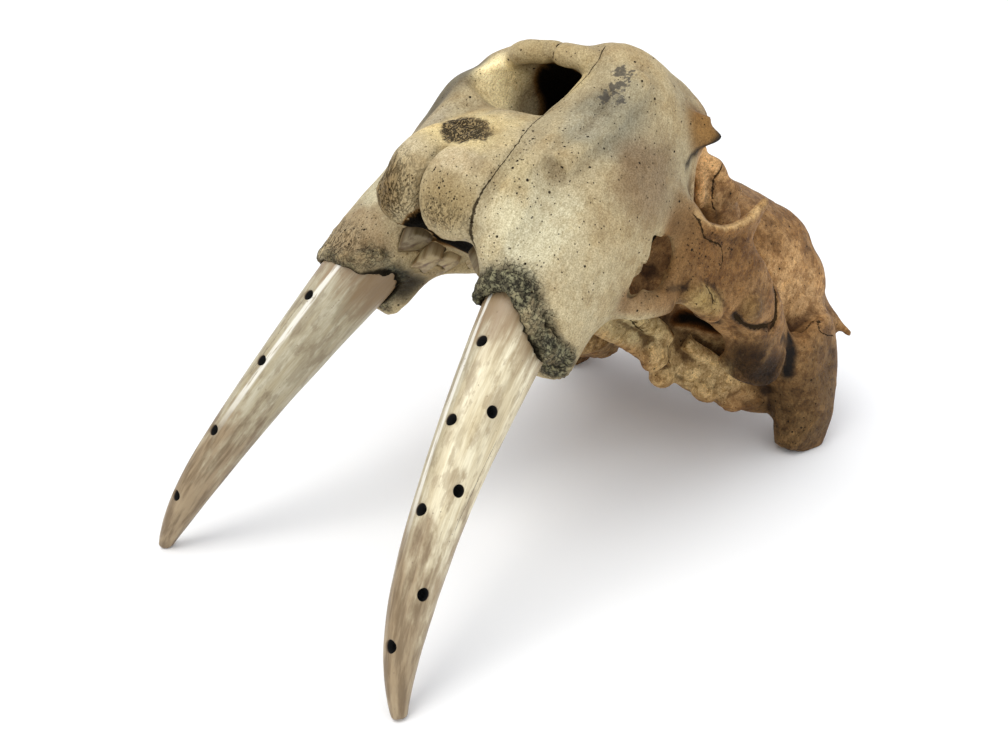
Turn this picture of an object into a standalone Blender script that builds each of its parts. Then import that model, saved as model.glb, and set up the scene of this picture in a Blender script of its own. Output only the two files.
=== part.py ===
"""A walrus skull without its lower jaw, resting on the tips of its tusks and on its mastoids.

Millimetres are used for every size and place, and MM turns them into metres.
The skull is laid out in its own frame: +X to the animal's left, +Y to the back of the head,
+Z to the top of the head, with the origin on the midline at the level of the tusk sockets.
It is then tipped nose up, as it rests, and set down on the floor.
"""

import math

import bmesh
import bpy
import numpy as np
from mathutils import Euler, Matrix, Vector

MM = 0.001

# Driving dimensions
NOSE_UP = math.radians(30.6)      # the pitch at which tusk tips and mastoids share the floor
GAP = 0.3                         # clearance between a tooth and its socket
BONE_GRID = 3.0                   # size of the grid the bone masses are fused on
BONE_SOFTENING = 8                # rounds of smoothing where the masses meet
HOLLOW_SOFTENING = 4
EDGE_SOFTENING = 3                # rounds after the hollows are cut
CRANIUM_TRIANGLES = 6150

# Tusks: a curve through three control points, with a half-depth at each station along it
TUSK_SOCKET = Vector((65.7, 38.4, -4.0))
TUSK_BEND = Vector((91.3, -14.9, -155.4))
TUSK_TIP = Vector((111.4, 0.3, -207.9))
TUSK_STATIONS = (0.0, 0.33, 0.67, 0.97, 1.0)
TUSK_HALF_DEPTHS = (24.4, 17.5, 12.6, 5.6, 4.5)
TUSK_WIDTH_TO_DEPTH = 0.84
TUSK_ROOT = 62.0                  # length inside the socket, where the tusk runs straight on
TUSK_SIDES = 16
TUSK_RINGS = 15

# Three points on the slanted rim of each tusk socket; the left rim is broken away in front
SOCKET_RIMS = (
    ((49.0, 18.0, 2.0), (85.0, 52.0, -13.0), (57.0, 54.0, -22.0)),
    ((-95.0, 31.0, -9.0), (-55.0, 14.0, -6.0), (-60.0, 60.0, -24.0)),
)
SOCKET_CUT = 42.0                 # half the width of the bone cut away below a rim

# Small teeth behind each tusk: root end, worn end, half width and half length of the crown
SMALL_TEETH = {
    "incisor": ((31, 38, 40), (28, 35, 19), 7.0, 8.0),
    "cheek_tooth_1": ((31, 53, 37), (29, 51, 11), 6.6, 7.0),
    "cheek_tooth_2": ((31, 68, 37), (29, 66, 14), 6.4, 7.0),
    "cheek_tooth_3": ((31, 83, 40), (29, 81, 18), 6.2, 7.0),
}
TOOTH_WEAR = math.radians(40)     # slant of the worn ends
TOOTH_SIDES = 8
# Shares of the way from root to worn end, with the width there as a share of the widest
TOOTH_PROFILE = ((0.0, 0.62), (0.12, 0.8), (0.4, 0.95), (0.7, 1.0), (0.9, 0.96), (1.0, 0.86))

# The floor below the skull's own origin: tusk tips and mastoids are worn flat on it
FLOOR = -179.6
FLOOR_SLAB = (600.0, 900.0, 100.0)

# Holes drilled into the tusks: distance from the socket along the tusk
FRONT_HOLES = {1: (23.0, 67.0, 114.0, 180.0), -1: (34.0, 81.0, 131.0, 177.0)}
OUTER_HOLES = {1: (55.0, 99.0, 153.0), -1: (62.0, 108.0, 157.0)}
FRONT_HOLE_TURN = {1: math.radians(5.0), -1: math.radians(-2.0)}
OUTER_HOLE_TURN = math.radians(68.0)
HOLE_DIAMETER = 7.0
HOLE_DEPTH = 7.0                  # or to the middle of the tusk where that is less
HOLE_SIDES = 12


def clear_scene():
    for thing in list(bpy.data.objects):
        bpy.data.objects.remove(thing, do_unlink=True)


def material(name, colour, roughness):
    made = bpy.data.materials.new(name)
    made.use_nodes = True
    shader = made.node_tree.nodes["Principled BSDF"]
    shader.inputs["Base Color"].default_value = (*colour, 1.0)
    shader.inputs["Roughness"].default_value = roughness
    shader.inputs["Metallic"].default_value = 0.0
    return made


def new_object(name, bm):
    mesh = bpy.data.meshes.new(name)
    bm.to_mesh(mesh)
    bm.free()
    made = bpy.data.objects.new(name, mesh)
    bpy.context.collection.objects.link(made)
    return made


def spline(rows, steps):
    """Rows of numbers, filled in between with a smooth curve through all of them."""
    table = np.array(rows, dtype=float)
    padded = np.vstack([2 * table[0] - table[1], table, 2 * table[-1] - table[-2]])
    filled = []
    for index in range(len(table) - 1):
        p0, p1, p2, p3 = padded[index:index + 4]
        for step in range(steps):
            t = step / steps
            filled.append(0.5 * (2 * p1 + (p2 - p0) * t + (2 * p0 - 5 * p1 + 4 * p2 - p3) * t * t
                                 + (3 * p1 - p0 - 3 * p2 + p3) * t ** 3))
    filled.append(table[-1])
    return np.array(filled)


def rounded(angle, power):
    """A point on a unit superellipse: power 2 is round, more is squarer."""
    c, s = math.cos(angle), math.sin(angle)
    return (math.copysign(abs(c) ** (2 / power), c), math.copysign(abs(s) ** (2 / power), s))


def skin_rings(bm, rings):
    """Close a tube over rings that have equal counts of points."""
    made = [[bm.verts.new(Vector(point) * MM) for point in ring] for ring in rings]
    count = len(made[0])
    for first, second in zip(made, made[1:]):
        for index in range(count):
            after = (index + 1) % count
            bm.faces.new((first[index], first[after], second[after], second[index]))
    bm.faces.new(list(reversed(made[0])))
    bm.faces.new(made[-1])


def loft(bm, stations, across, along, power=2.3, sides=28, steps=4):
    """A closed mass through stations (x, y, z, half width, half height), with rings that all
    lie in the plane of the two directions given. A sixth number is the half height below."""
    u, v = Vector(across), Vector(along)
    rings = []
    for x, y, z, half_u, half_v, *below in spline(stations, steps):
        ring = []
        for index in range(sides):
            a, b = rounded(2 * math.pi * index / sides, power)
            height = below[0] if below and b < 0 else half_v
            ring.append(Vector((x, y, z)) + u * (a * half_u) + v * (b * height))
        rings.append(ring)
    skin_rings(bm, rings)


def limb(bm, stations, flat=(1, 0, 0), power=2.0, sides=16, steps=4):
    """A tube whose rings stand square to its path; stations are (x, y, z, half size along the
    flat direction, half size across it)."""
    table = spline(stations, steps)
    rings = []
    for index, (x, y, z, half_u, half_v) in enumerate(table):
        before, after = table[max(index - 1, 0)], table[min(index + 1, len(table) - 1)]
        forward = Vector(after[:3] - before[:3]).normalized()
        u = Vector(flat)
        u = (u - forward * u.dot(forward)).normalized()
        v = forward.cross(u)
        ring = []
        for step in range(sides):
            a, b = rounded(2 * math.pi * step / sides, power)
            ring.append(Vector((x, y, z)) + u * (a * half_u) + v * (b * half_v))
        rings.append(ring)
    skin_rings(bm, rings)


def ball(bm, centre, radii, turn=(0, 0, 0)):
    matrix = (Matrix.Translation(Vector(centre) * MM)
              @ Euler([math.radians(angle) for angle in turn]).to_matrix().to_4x4()
              @ Matrix.Diagonal((*[radius * MM for radius in radii], 1.0)))
    bmesh.ops.create_uvsphere(bm, u_segments=20, v_segments=12, radius=1.0, matrix=matrix)


def both_sides(make, bm, stations, **options):
    """The same mass on the left and, mirrored, on the right."""
    for side in (1, -1):
        mirrored = [(row[0] * side, *row[1:]) for row in stations]
        make(bm, mirrored, **options)


def twin_balls(bm, centre, radii, turn=(0, 0, 0)):
    for side in (1, -1):
        ball(bm, (centre[0] * side, centre[1], centre[2]), radii,
             (turn[0], turn[1] * side, turn[2] * side))


def bone_masses():
    bm = bmesh.new()
    X, Y, Z = (1, 0, 0), (0, 1, 0), (0, 0, 1)
    # The maxillae: two great bulges that hold the roots of the tusks
    both_sides(loft, bm, [
        (70, 42, -30, 28, 29), (68, 45, -8, 30, 33), (66, 48, 4, 32, 35), (62, 59, 22, 36, 42),
        (57, 74, 52, 41, 48), (52, 86, 82, 42, 51), (46, 97, 111, 40, 50), (41, 107, 139, 39, 48),
        (37, 109, 154, 36, 47), (31, 107, 166, 25, 35),
    ], across=X, along=Y, power=2.2)
    loft(bm, [
        (52, 36, 12, 12, 14), (49, 29, 26, 14, 19), (48, 27, 48, 15, 19), (46, 34, 70, 15, 21),
        (44, 50, 96, 14, 21), (40, 64, 118, 13, 19), (37, 78, 140, 11, 17),
    ], across=X, along=Y, power=2.2)
    loft(bm, [
        (-52, 46, 12, 12, 14), (-50, 41, 26, 14, 19), (-48, 40, 48, 14, 19), (-45, 43, 70, 14, 21),
        (-44, 52, 96, 14, 21), (-41, 62, 118, 14, 20), (-39, 74, 140, 13, 19),
    ], across=X, along=Y, power=2.2)
    # The snout bone between them, with a swelling on each side of the cleft
    loft(bm, [
        (0, 42, 30, 41, 31), (0, 41, 44, 45, 36), (0, 44, 60, 47, 38), (0, 52, 76, 46, 41),
        (0, 61, 91, 43, 42), (0, 72, 104, 41, 38), (0, 80, 112, 38, 34),
    ], X, Y, power=2.9)
    both_sides(limb, bm, [
        (16, 24, 86, 14, 10), (19, 15, 70, 18, 15), (21, 10, 54, 20, 18), (22, 13, 40, 19, 16),
        (24, 19, 32, 16, 11),
    ], flat=X)
    # The roof of the nose and the brow between the orbits
    loft(bm, [
        (0, 58, 155, 33, 6), (0, 70, 149, 38, 13), (0, 84, 142, 42, 20), (0, 100, 134, 44, 28),
        (0, 122, 119, 43, 42), (0, 150, 111, 38, 48), (0, 180, 105, 38, 48), (0, 205, 97, 47, 51),
    ], X, Z)
    # The braincase
    loft(bm, [
        (0, 198, 91, 42, 51), (0, 225, 87, 68, 58), (0, 255, 85, 84, 65), (0, 285, 83, 93, 65),
        (0, 310, 77, 95, 61), (0, 330, 72, 84, 50),
    ], X, Z, power=2.3)
    # The rolled front edge of that roof
    both_sides(limb, bm, [
        (37, 68, 150, 5, 5), (27, 64, 154, 7, 6), (14, 64, 155, 8, 7), (4, 68, 155, 6, 6),
    ], flat=Y)
    # The knobs in front of the orbits
    both_sides(limb, bm, [
        (60, 106, 126, 22, 20), (72, 114, 135, 14, 14), (81, 122, 139, 9, 9), (86, 127, 141, 5, 5),
    ], flat=X)
    # The crests over the orbits
    both_sides(limb, bm, [
        (48, 122, 130, 10, 14), (55, 142, 131, 8, 11), (58, 160, 128, 8, 11), (60, 182, 119, 10, 13),
        (62, 208, 104, 12, 14),
    ], flat=X)
    # The cheek arches: a plate on two roots, with a process behind each orbit
    both_sides(limb, bm, [
        (78, 96, 96, 14, 9), (86, 112, 92, 9, 9), (93, 128, 86, 7, 9),
    ], flat=X)
    both_sides(limb, bm, [
        (84, 84, 24, 12, 8), (91, 104, 28, 9, 8), (95, 126, 40, 7, 10),
    ], flat=X)
    both_sides(limb, bm, [
        (90, 117, 62, 5, 24), (94, 132, 64, 7, 28), (98, 148, 67, 7, 28), (102, 166, 69, 7, 27),
        (105, 186, 64, 8, 24), (107, 208, 58, 8, 20), (104, 226, 52, 10, 18), (96, 244, 46, 14, 20),
        (82, 266, 44, 20, 24),
    ], flat=X)
    both_sides(limb, bm, [
        (100, 158, 86, 6, 14), (102, 168, 100, 5, 9), (102, 177, 117, 4, 4),
    ], flat=X)
    twin_balls(bm, (108, 201, 54), (8, 13, 12))
    # The blocks that carry the jaw joints, each with a knob in front
    both_sides(loft, bm, [
        (99, 212, 40, 8, 12), (98, 224, 34, 15, 20), (96, 240, 33, 17, 21), (92, 260, 36, 16, 20),
    ], across=X, along=Z)
    both_sides(limb, bm, [
        (84, 172, 46, 9, 8), (88, 190, 46, 12, 9), (92, 212, 42, 10, 10), (94, 232, 38, 10, 12),
    ], flat=X)
    # The mastoids, which the skull rests on
    both_sides(limb, bm, [
        (88, 292, 58, 26, 34), (100, 310, 36, 22, 32), (106, 319, 12, 19, 26), (110, 324, -20, 14, 21),
    ], flat=X, power=2.4)
    # The crest across the back of the head, out to its two points
    both_sides(limb, bm, [
        (0, 324, 122, 12, 9), (34, 323, 119, 11, 9), (64, 322, 104, 10, 8), (86, 324, 85, 9, 8),
        (101, 329, 75, 6, 5), (113, 333, 70, 3, 3),
    ], flat=Y)
    # Condyles beside the opening for the spinal cord
    both_sides(limb, bm, [
        (26, 332, 50, 11, 12), (22, 342, 34, 12, 12), (15, 340, 16, 10, 10),
    ], flat=X)
    # Palate, with a ridge of sockets on each side
    loft(bm, [
        (0, 44, 38, 34, 12), (0, 80, 40, 40, 16), (0, 120, 42, 38, 18), (0, 160, 44, 30, 20),
        (0, 200, 42, 30, 24), (0, 240, 38, 46, 26), (0, 300, 34, 50, 24), (0, 326, 32, 40, 20),
    ], X, Z)
    both_sides(limb, bm, [
        (36, 42, 28, 11, 12), (36, 62, 22, 10, 13), (36, 84, 25, 10, 13), (35, 106, 30, 9, 12),
        (34, 128, 34, 8, 10),
    ], flat=X)
    # The wings behind the palate, ending in hooks
    both_sides(limb, bm, [
        (36, 118, 26, 7, 14), (34, 150, 22, 6, 18), (34, 190, 20, 6, 18), (36, 222, 12, 7, 16),
        (38, 248, -2, 10, 10),
    ], flat=X)
    # The swellings over the ears
    both_sides(limb, bm, [
        (34, 246, 12, 12, 14), (50, 264, 8, 17, 16), (63, 290, 8, 20, 16), (80, 316, 8, 16, 14),
    ], flat=X)
    bmesh.ops.recalc_face_normals(bm, faces=bm.faces)
    return bm


def hollow_masses():
    """Everything that is open in the bone."""
    bm = bmesh.new()
    X, Y, Z = (1, 0, 0), (0, 1, 0), (0, 0, 1)
    # The nose, from its wide mouth back into the skull
    loft(bm, [
        (-4, 4, 135, 42, 17, 18), (-4, 42, 135, 39, 17, 18), (-3, 58, 134, 35, 17, 20),
        (-1, 78, 131, 30, 18, 22), (0, 110, 122, 25, 18, 24), (0, 138, 106, 20, 18, 22),
        (0, 170, 80, 16, 14, 16), (0, 210, 58, 16, 14, 14), (0, 235, 34, 18, 12, 12),
        (0, 250, 6, 18, 12, 12),
    ], X, Z, power=2.4)
    # The opening for the spinal cord, and the space of the brain
    loft(bm, [
        (0, 366, 22, 18, 20), (0, 336, 36, 18, 20), (0, 314, 52, 32, 26), (0, 284, 78, 60, 40),
        (0, 240, 84, 50, 40), (0, 222, 84, 20, 20),
    ], X, Z)
    # The canals under the orbits
    both_sides(limb, bm, [
        (92, 92, 53, 7, 18), (84, 112, 60, 8, 16), (74, 140, 68, 10, 15), (70, 165, 72, 12, 16),
    ], flat=X)
    # The cleft of the snout, the rough pit above it and the vault under its lip
    limb(bm, [(0, -14, 70, 2, 8), (0, -9, 54, 3, 13), (0, 0, 38, 4, 14), (0, 8, 24, 5, 12)], flat=X)
    ball(bm, (0, 12, 90), (13, 9, 8), (-35, 0, 0))
    ball(bm, (0, 30, 12), (25, 34, 22))
    # The broken edge in front of the left tusk, and the edges beside the palate
    loft(bm, [(69, 8, -26, 19, 15), (69, 8, -9, 19, 15), (66, 8, 2, 15.5, 15), (65.5, 8, 11, 12, 15)],
         X, Y, power=4)
    loft(bm, [(43, 38, -36, 9, 18), (43, 38, -1, 8, 17)], X, Y, power=4)
    limb(bm, [(-52, 42, -31, 28, 13), (-28, 46, -2, 28, 13)], flat=Y, power=4)
    # The slanted mouths of the tusk sockets: all bone below these planes goes
    for rim in SOCKET_RIMS:
        first, second, third = (Vector(point) for point in rim)
        down = (second - first).cross(third - first).normalized()
        if down.z > 0:
            down.negate()
        turn = Vector((0, 0, -1)).rotation_difference(down).to_matrix().to_4x4()
        centre = (first + second + third) / 3 + down * SOCKET_CUT
        size = Matrix.Scale(2 * SOCKET_CUT * MM, 4)
        bmesh.ops.create_cube(bm, size=1.0, matrix=Matrix.Translation(centre * MM) @ turn @ size)
    bmesh.ops.recalc_face_normals(bm, faces=bm.faces)
    return bm


def fuse(thing, rounds):
    """Join the bodies of a thing on a fine grid and soften where they meet."""
    grid = thing.modifiers.new("grid", "REMESH")
    grid.mode = "VOXEL"
    grid.voxel_size = BONE_GRID * MM
    soften = thing.modifiers.new("soften", "SMOOTH")
    soften.factor = 0.5
    soften.iterations = rounds


def to_resting_pose():
    """From the skull's own frame to the world, before the skull is set down."""
    return Matrix.Rotation(-NOSE_UP, 4, "X")


def tusk_point(t):
    return (TUSK_SOCKET * (1 - t) ** 2 + TUSK_BEND * 2 * t * (1 - t) + TUSK_TIP * t * t)


def tusk_slope(t):
    return (TUSK_BEND - TUSK_SOCKET) * 2 * (1 - t) + (TUSK_TIP - TUSK_BEND) * 2 * t


def tusk_frame(t):
    """Directions at t along the tusk: down it, to its front and to its outer side."""
    down = tusk_slope(t).normalized()
    front = Vector((0, -1, 0))
    front = (front - down * front.dot(down)).normalized()
    return down, front, front.cross(down)


def tusk_at_distance(distance):
    """The parameter t at a distance along the curve from the socket."""
    walked, t, step = 0.0, 0.0, 0.002
    while walked < distance and t < 1:
        walked += (tusk_point(t + step) - tusk_point(t)).length
        t += step
    return t


def tusk_half_depth(t):
    return float(np.interp(t, TUSK_STATIONS, TUSK_HALF_DEPTHS))


def tusk_mass(side, extra):
    """The tusk and its root, grown all round by the extra, as a closed tube."""
    bm = bmesh.new()
    rings = []
    root_t = -TUSK_ROOT / tusk_slope(0).length
    for index in range(TUSK_RINGS + 1):
        t = root_t + (1 - root_t) * index / TUSK_RINGS
        _, front, outer = tusk_frame(max(t, 0))
        centre = tusk_point(t) if t > 0 else TUSK_SOCKET + tusk_slope(0) * t
        half = tusk_half_depth(t) + extra
        ring = []
        for step in range(TUSK_SIDES):
            angle = 2 * math.pi * step / TUSK_SIDES
            point = (centre + front * (math.cos(angle) * half)
                     + outer * (math.sin(angle) * half * TUSK_WIDTH_TO_DEPTH))
            ring.append(Vector((point.x * side, point.y, point.z)))
        rings.append(ring)
    skin_rings(bm, rings)
    bmesh.ops.recalc_face_normals(bm, faces=bm.faces)
    return bm


def drill_mass(side):
    """Bits at every place where the tusk is drilled."""
    bm = bmesh.new()
    places = [(distance, FRONT_HOLE_TURN[side]) for distance in FRONT_HOLES[side]]
    places += [(distance, OUTER_HOLE_TURN) for distance in OUTER_HOLES[side]]
    for distance, turn in places:
        t = tusk_at_distance(distance)
        _, front, outer = tusk_frame(t)
        half = tusk_half_depth(t)
        away = front * math.cos(turn) + outer * math.sin(turn)
        skin = (front * (math.cos(turn) * half)
                + outer * (math.sin(turn) * half * TUSK_WIDTH_TO_DEPTH))
        depth = min(HOLE_DEPTH, half * TUSK_WIDTH_TO_DEPTH)
        centre = tusk_point(t) + skin + away * (HOLE_DEPTH - depth)
        centre.x *= side
        away.x *= side
        turned = away.to_track_quat("Z", "Y").to_matrix().to_4x4()
        radius = HOLE_DIAMETER / 2 * MM
        bmesh.ops.create_cone(bm, cap_ends=True, segments=HOLE_SIDES, radius1=radius, radius2=radius,
                              depth=2 * HOLE_DEPTH * MM, matrix=Matrix.Translation(centre * MM) @ turned)
    bmesh.ops.recalc_face_normals(bm, faces=bm.faces)
    return bm


def small_tooth_mass(side, shape, extra):
    """A peg with a slanted, worn end, grown all round by the extra."""
    root, worn, half_width, half_length = shape
    root, worn = Vector(root), Vector(worn)
    bm = bmesh.new()
    rings = []
    for share, swell in TOOTH_PROFILE:
        middle = root.lerp(worn, share)
        slant = math.tan(TOOTH_WEAR) * share
        lift = {0.0: extra, 1.0: -extra}.get(share, 0.0)
        ring = []
        for step in range(TOOTH_SIDES):
            angle = 2 * math.pi * step / TOOTH_SIDES
            x = math.cos(angle) * (half_width * swell + extra)
            y = math.sin(angle) * (half_length * swell + extra)
            z = lift - x * slant
            ring.append(Vector(((middle.x + x) * side, middle.y + y, middle.z + z)))
        rings.append(ring)
    skin_rings(bm, rings)
    bmesh.ops.recalc_face_normals(bm, faces=bm.faces)
    return bm


def floor_mass():
    """A slab whose top is the floor, in the skull's own frame."""
    bm = bmesh.new()
    width, length, thickness = (value * MM for value in FLOOR_SLAB)
    size = Matrix.Diagonal((width, length, thickness, 1.0))
    place = Matrix.Translation((0, 0, FLOOR * MM - thickness / 2))
    bmesh.ops.create_cube(bm, size=1.0, matrix=to_resting_pose().inverted() @ place @ size)
    return bm


def cutter(name, bm):
    made = new_object(name, bm)
    made.hide_render = True
    made.display_type = "WIRE"
    return made


def subtract(thing, tool):
    cut = thing.modifiers.new(tool.name, "BOOLEAN")
    cut.operation = "DIFFERENCE"
    cut.solver = "EXACT"
    cut.object = tool


def simplify(thing, triangles):
    """Fewer, larger faces, down to a count of triangles."""
    now = thing.evaluated_get(bpy.context.evaluated_depsgraph_get()).to_mesh()
    now.calc_loop_triangles()
    simpler = thing.modifiers.new("simplify", "DECIMATE")
    simpler.ratio = triangles / len(now.loop_triangles)


def build_cranium(sockets, floor):
    cranium = new_object("cranium", bone_masses())
    cranium.data.materials.append(material("bone", (0.55, 0.44, 0.30), 0.7))
    fuse(cranium, BONE_SOFTENING)
    hollows = cutter("hollows", hollow_masses())
    fuse(hollows, HOLLOW_SOFTENING)
    subtract(cranium, hollows)
    fuse(cranium, EDGE_SOFTENING)
    simplify(cranium, CRANIUM_TRIANGLES)
    for tool in (*sockets, floor):
        subtract(cranium, tool)


def build_teeth(floor):
    """The tusks and the small teeth; returns the cutters for their sockets."""
    ivory = material("ivory", (0.78, 0.70, 0.54), 0.35)
    enamel = material("worn tooth", (0.72, 0.60, 0.42), 0.45)
    sockets = []
    for side, word in ((1, "left"), (-1, "right")):
        tusk = new_object(f"{word}_tusk", tusk_mass(side, 0.0))
        tusk.data.materials.append(ivory)
        subtract(tusk, cutter(f"{word}_drill", drill_mass(side)))
        subtract(tusk, floor)
        sockets.append(cutter(f"{word}_tusk_socket", tusk_mass(side, GAP)))
        for name, shape in SMALL_TEETH.items():
            tooth = new_object(f"{word}_{name}", small_tooth_mass(side, shape, 0.0))
            tooth.data.materials.append(enamel)
            sockets.append(cutter(f"{word}_{name}_socket", small_tooth_mass(side, shape, GAP)))
    return sockets


def set_down():
    """Tip everything into the resting pose, with the origin under the middle of the whole."""
    bpy.context.view_layer.update()
    shown = [thing for thing in bpy.data.objects if not thing.hide_render]
    pose = to_resting_pose()
    graph = bpy.context.evaluated_depsgraph_get()
    corners = []
    for thing in shown:
        mesh = thing.evaluated_get(graph).to_mesh()
        corners += [pose @ vert.co for vert in mesh.vertices]
    spot = Vector((
        (min(c.x for c in corners) + max(c.x for c in corners)) / 2,
        (min(c.y for c in corners) + max(c.y for c in corners)) / 2,
        FLOOR * MM,
    ))
    for thing in bpy.data.objects:
        thing.matrix_world = Matrix.Translation(-spot) @ pose


def build():
    clear_scene()
    floor = cutter("floor", floor_mass())
    build_cranium(build_teeth(floor), floor)
    set_down()


build()
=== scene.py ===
# %% [markdown]
# # A walrus skull, cell by cell
# The object is a walrus skull without its lower jaw. It rests nose up on the tips of its tusks and on
# the mastoids behind its ears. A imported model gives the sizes: its solids are plain, and this script
# dresses each of them in a fine mesh and a finish of its own. It loads that model first and keeps its
# bounding box, because nothing made here may be larger.

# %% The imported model
import itertools
import math

import bmesh
import bpy
import numpy as np
from mathutils import Euler, Matrix, Vector


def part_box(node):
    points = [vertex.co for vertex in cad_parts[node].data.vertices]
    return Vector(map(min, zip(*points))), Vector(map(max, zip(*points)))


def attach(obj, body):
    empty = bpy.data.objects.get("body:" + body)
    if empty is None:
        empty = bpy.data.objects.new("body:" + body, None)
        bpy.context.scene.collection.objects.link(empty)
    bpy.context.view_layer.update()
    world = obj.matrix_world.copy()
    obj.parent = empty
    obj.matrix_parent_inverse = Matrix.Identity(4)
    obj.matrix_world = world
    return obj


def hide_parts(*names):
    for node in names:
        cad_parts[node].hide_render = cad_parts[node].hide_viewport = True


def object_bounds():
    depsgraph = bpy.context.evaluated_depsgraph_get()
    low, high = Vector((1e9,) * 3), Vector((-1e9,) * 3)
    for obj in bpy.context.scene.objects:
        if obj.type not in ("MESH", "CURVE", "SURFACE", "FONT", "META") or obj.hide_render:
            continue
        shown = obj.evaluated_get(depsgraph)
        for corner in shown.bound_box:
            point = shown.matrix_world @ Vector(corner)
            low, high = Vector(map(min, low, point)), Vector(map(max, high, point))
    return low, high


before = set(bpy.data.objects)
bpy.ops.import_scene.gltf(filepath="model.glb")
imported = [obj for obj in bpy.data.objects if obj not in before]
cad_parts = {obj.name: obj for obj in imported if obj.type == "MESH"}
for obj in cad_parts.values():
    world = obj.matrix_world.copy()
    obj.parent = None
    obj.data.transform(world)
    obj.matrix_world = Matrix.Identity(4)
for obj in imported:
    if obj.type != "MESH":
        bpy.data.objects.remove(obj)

cad_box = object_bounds()
print("packed nodes:", sorted(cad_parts))
print("box of the packed model:", [[round(value, 4) for value in corner] for corner in cad_box])

# %% [markdown]
# ## Two frames
# A skull is easiest to describe level, with its midline at x = 0: +X to the animal's left, +Y to the
# back of the head, +Z to its top, in millimetres. It rests with its nose tipped up, so each point is
# turned about X and moved to where the skull stands. Numpy turns whole meshes at once, which is why
# the same rule is written as a matrix and as a function.

# %% From the skull's own frame to the floor
MM = 0.001
NOSE_UP = math.radians(30.6)
SEAT = np.array((-0.12, -120.69, 179.6))   # where the skull's own origin stands, in millimetres
TURN = np.array(Matrix.Rotation(-NOSE_UP, 3, "X"))


def at_rest(points):
    """Points of the skull's own frame in millimetres, as they rest, in metres."""
    return (np.asarray(points, dtype=float) @ TURN.T + SEAT) * MM


def in_skull(points):
    """Resting points in metres, in the skull's own frame in millimetres."""
    return (np.asarray(points, dtype=float) / MM - SEAT) @ TURN


low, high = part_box("left_incisor")
print("middle of the left incisor, in the skull's frame:", in_skull((low + high) / 2).round(1))

# %% [markdown]
# ## Noise for sculpting
# Bone is never smooth. A lattice of random numbers, blended between its points, gives soft bumps of
# any size, and several of them on top of each other give the look of weathered bone. The seed is
# fixed, so the skull comes out the same each time.

# %% Smooth noise over points
LATTICE = 32


def noise(points, cell, seed):
    """Noise between -1 and 1 that changes over about one cell."""
    table = np.random.default_rng(seed).uniform(-1, 1, (LATTICE,) * 3)
    place = np.asarray(points) / cell
    corner = np.floor(place).astype(int)
    share = place - corner
    share = share * share * (3 - 2 * share)
    total = np.zeros(len(place))
    for step in itertools.product((0, 1), repeat=3):
        weight = np.where(step, share, 1 - share).prod(axis=1)
        i, j, k = ((corner + step) % LATTICE).T
        total += weight * table[i, j, k]
    return total


def layered_noise(points, cell, seed, layers=3):
    return sum(noise(points, cell / 2 ** n, seed + n) / 2 ** n for n in range(layers)) / 1.5


def ridged_noise(points, cell, seed, layers=2):
    """Narrow crests between rounded hollows, between -1 and 1."""
    return sum((1 - 2.6 * np.abs(noise(points, cell / 1.8 ** n, seed + n))) / 1.8 ** n
               for n in range(layers)) / 1.55


def soft_step(low_end, high_end, values):
    share = np.clip((values - low_end) / (high_end - low_end), 0, 1)
    return share * share * (3 - 2 * share)


# %% [markdown]
# ## Masses
# A skull has hardly a flat or a round face, so it isn't built from boxes and spheres. It is built as
# a sculptor builds in clay: from masses that overlap. Each is a closed tube over rings, given by a
# short list of stations along it. A loft keeps its rings level, and a limb turns them square to its
# path. A voxel remesh then melts the masses into one skin.

# %% Masses over rings
def spline(rows, steps):
    """Rows of numbers, filled in between with a smooth curve through all of them."""
    table = np.array(rows, dtype=float)
    padded = np.vstack([2 * table[0] - table[1], table, 2 * table[-1] - table[-2]])
    filled = []
    for index in range(len(table) - 1):
        p0, p1, p2, p3 = padded[index:index + 4]
        for step in range(steps):
            t = step / steps
            filled.append(0.5 * (2 * p1 + (p2 - p0) * t + (2 * p0 - 5 * p1 + 4 * p2 - p3) * t * t
                                 + (3 * p1 - p0 - 3 * p2 + p3) * t ** 3))
    filled.append(table[-1])
    return np.array(filled)


def rounded(angle, power):
    """A point on a unit superellipse: power 2 is round, more is squarer."""
    c, s = math.cos(angle), math.sin(angle)
    return (math.copysign(abs(c) ** (2 / power), c), math.copysign(abs(s) ** (2 / power), s))


def skin_rings(bm, rings):
    made = [[bm.verts.new(Vector(point) * MM) for point in ring] for ring in rings]
    count = len(made[0])
    for first, second in zip(made, made[1:]):
        for index in range(count):
            after = (index + 1) % count
            bm.faces.new((first[index], first[after], second[after], second[index]))
    bm.faces.new(list(reversed(made[0])))
    bm.faces.new(made[-1])


def loft(bm, stations, across, along, power=2.3, sides=28, steps=4):
    """Stations are (x, y, z, half width, half height); a sixth number is the half height below."""
    u, v = Vector(across), Vector(along)
    rings = []
    for x, y, z, half_u, half_v, *below in spline(stations, steps):
        ring = []
        for index in range(sides):
            a, b = rounded(2 * math.pi * index / sides, power)
            height = below[0] if below and b < 0 else half_v
            ring.append(Vector((x, y, z)) + u * (a * half_u) + v * (b * height))
        rings.append(ring)
    skin_rings(bm, rings)


def limb(bm, stations, flat=(1, 0, 0), power=2.0, sides=16, steps=4):
    """Stations are (x, y, z, half size along the flat direction, half size across it)."""
    table = spline(stations, steps)
    rings = []
    for index, (x, y, z, half_u, half_v) in enumerate(table):
        before, after = table[max(index - 1, 0)], table[min(index + 1, len(table) - 1)]
        forward = Vector(after[:3] - before[:3]).normalized()
        u = Vector(flat)
        u = (u - forward * u.dot(forward)).normalized()
        v = forward.cross(u)
        ring = []
        for step in range(sides):
            a, b = rounded(2 * math.pi * step / sides, power)
            ring.append(Vector((x, y, z)) + u * (a * half_u) + v * (b * half_v))
        rings.append(ring)
    skin_rings(bm, rings)


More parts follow.
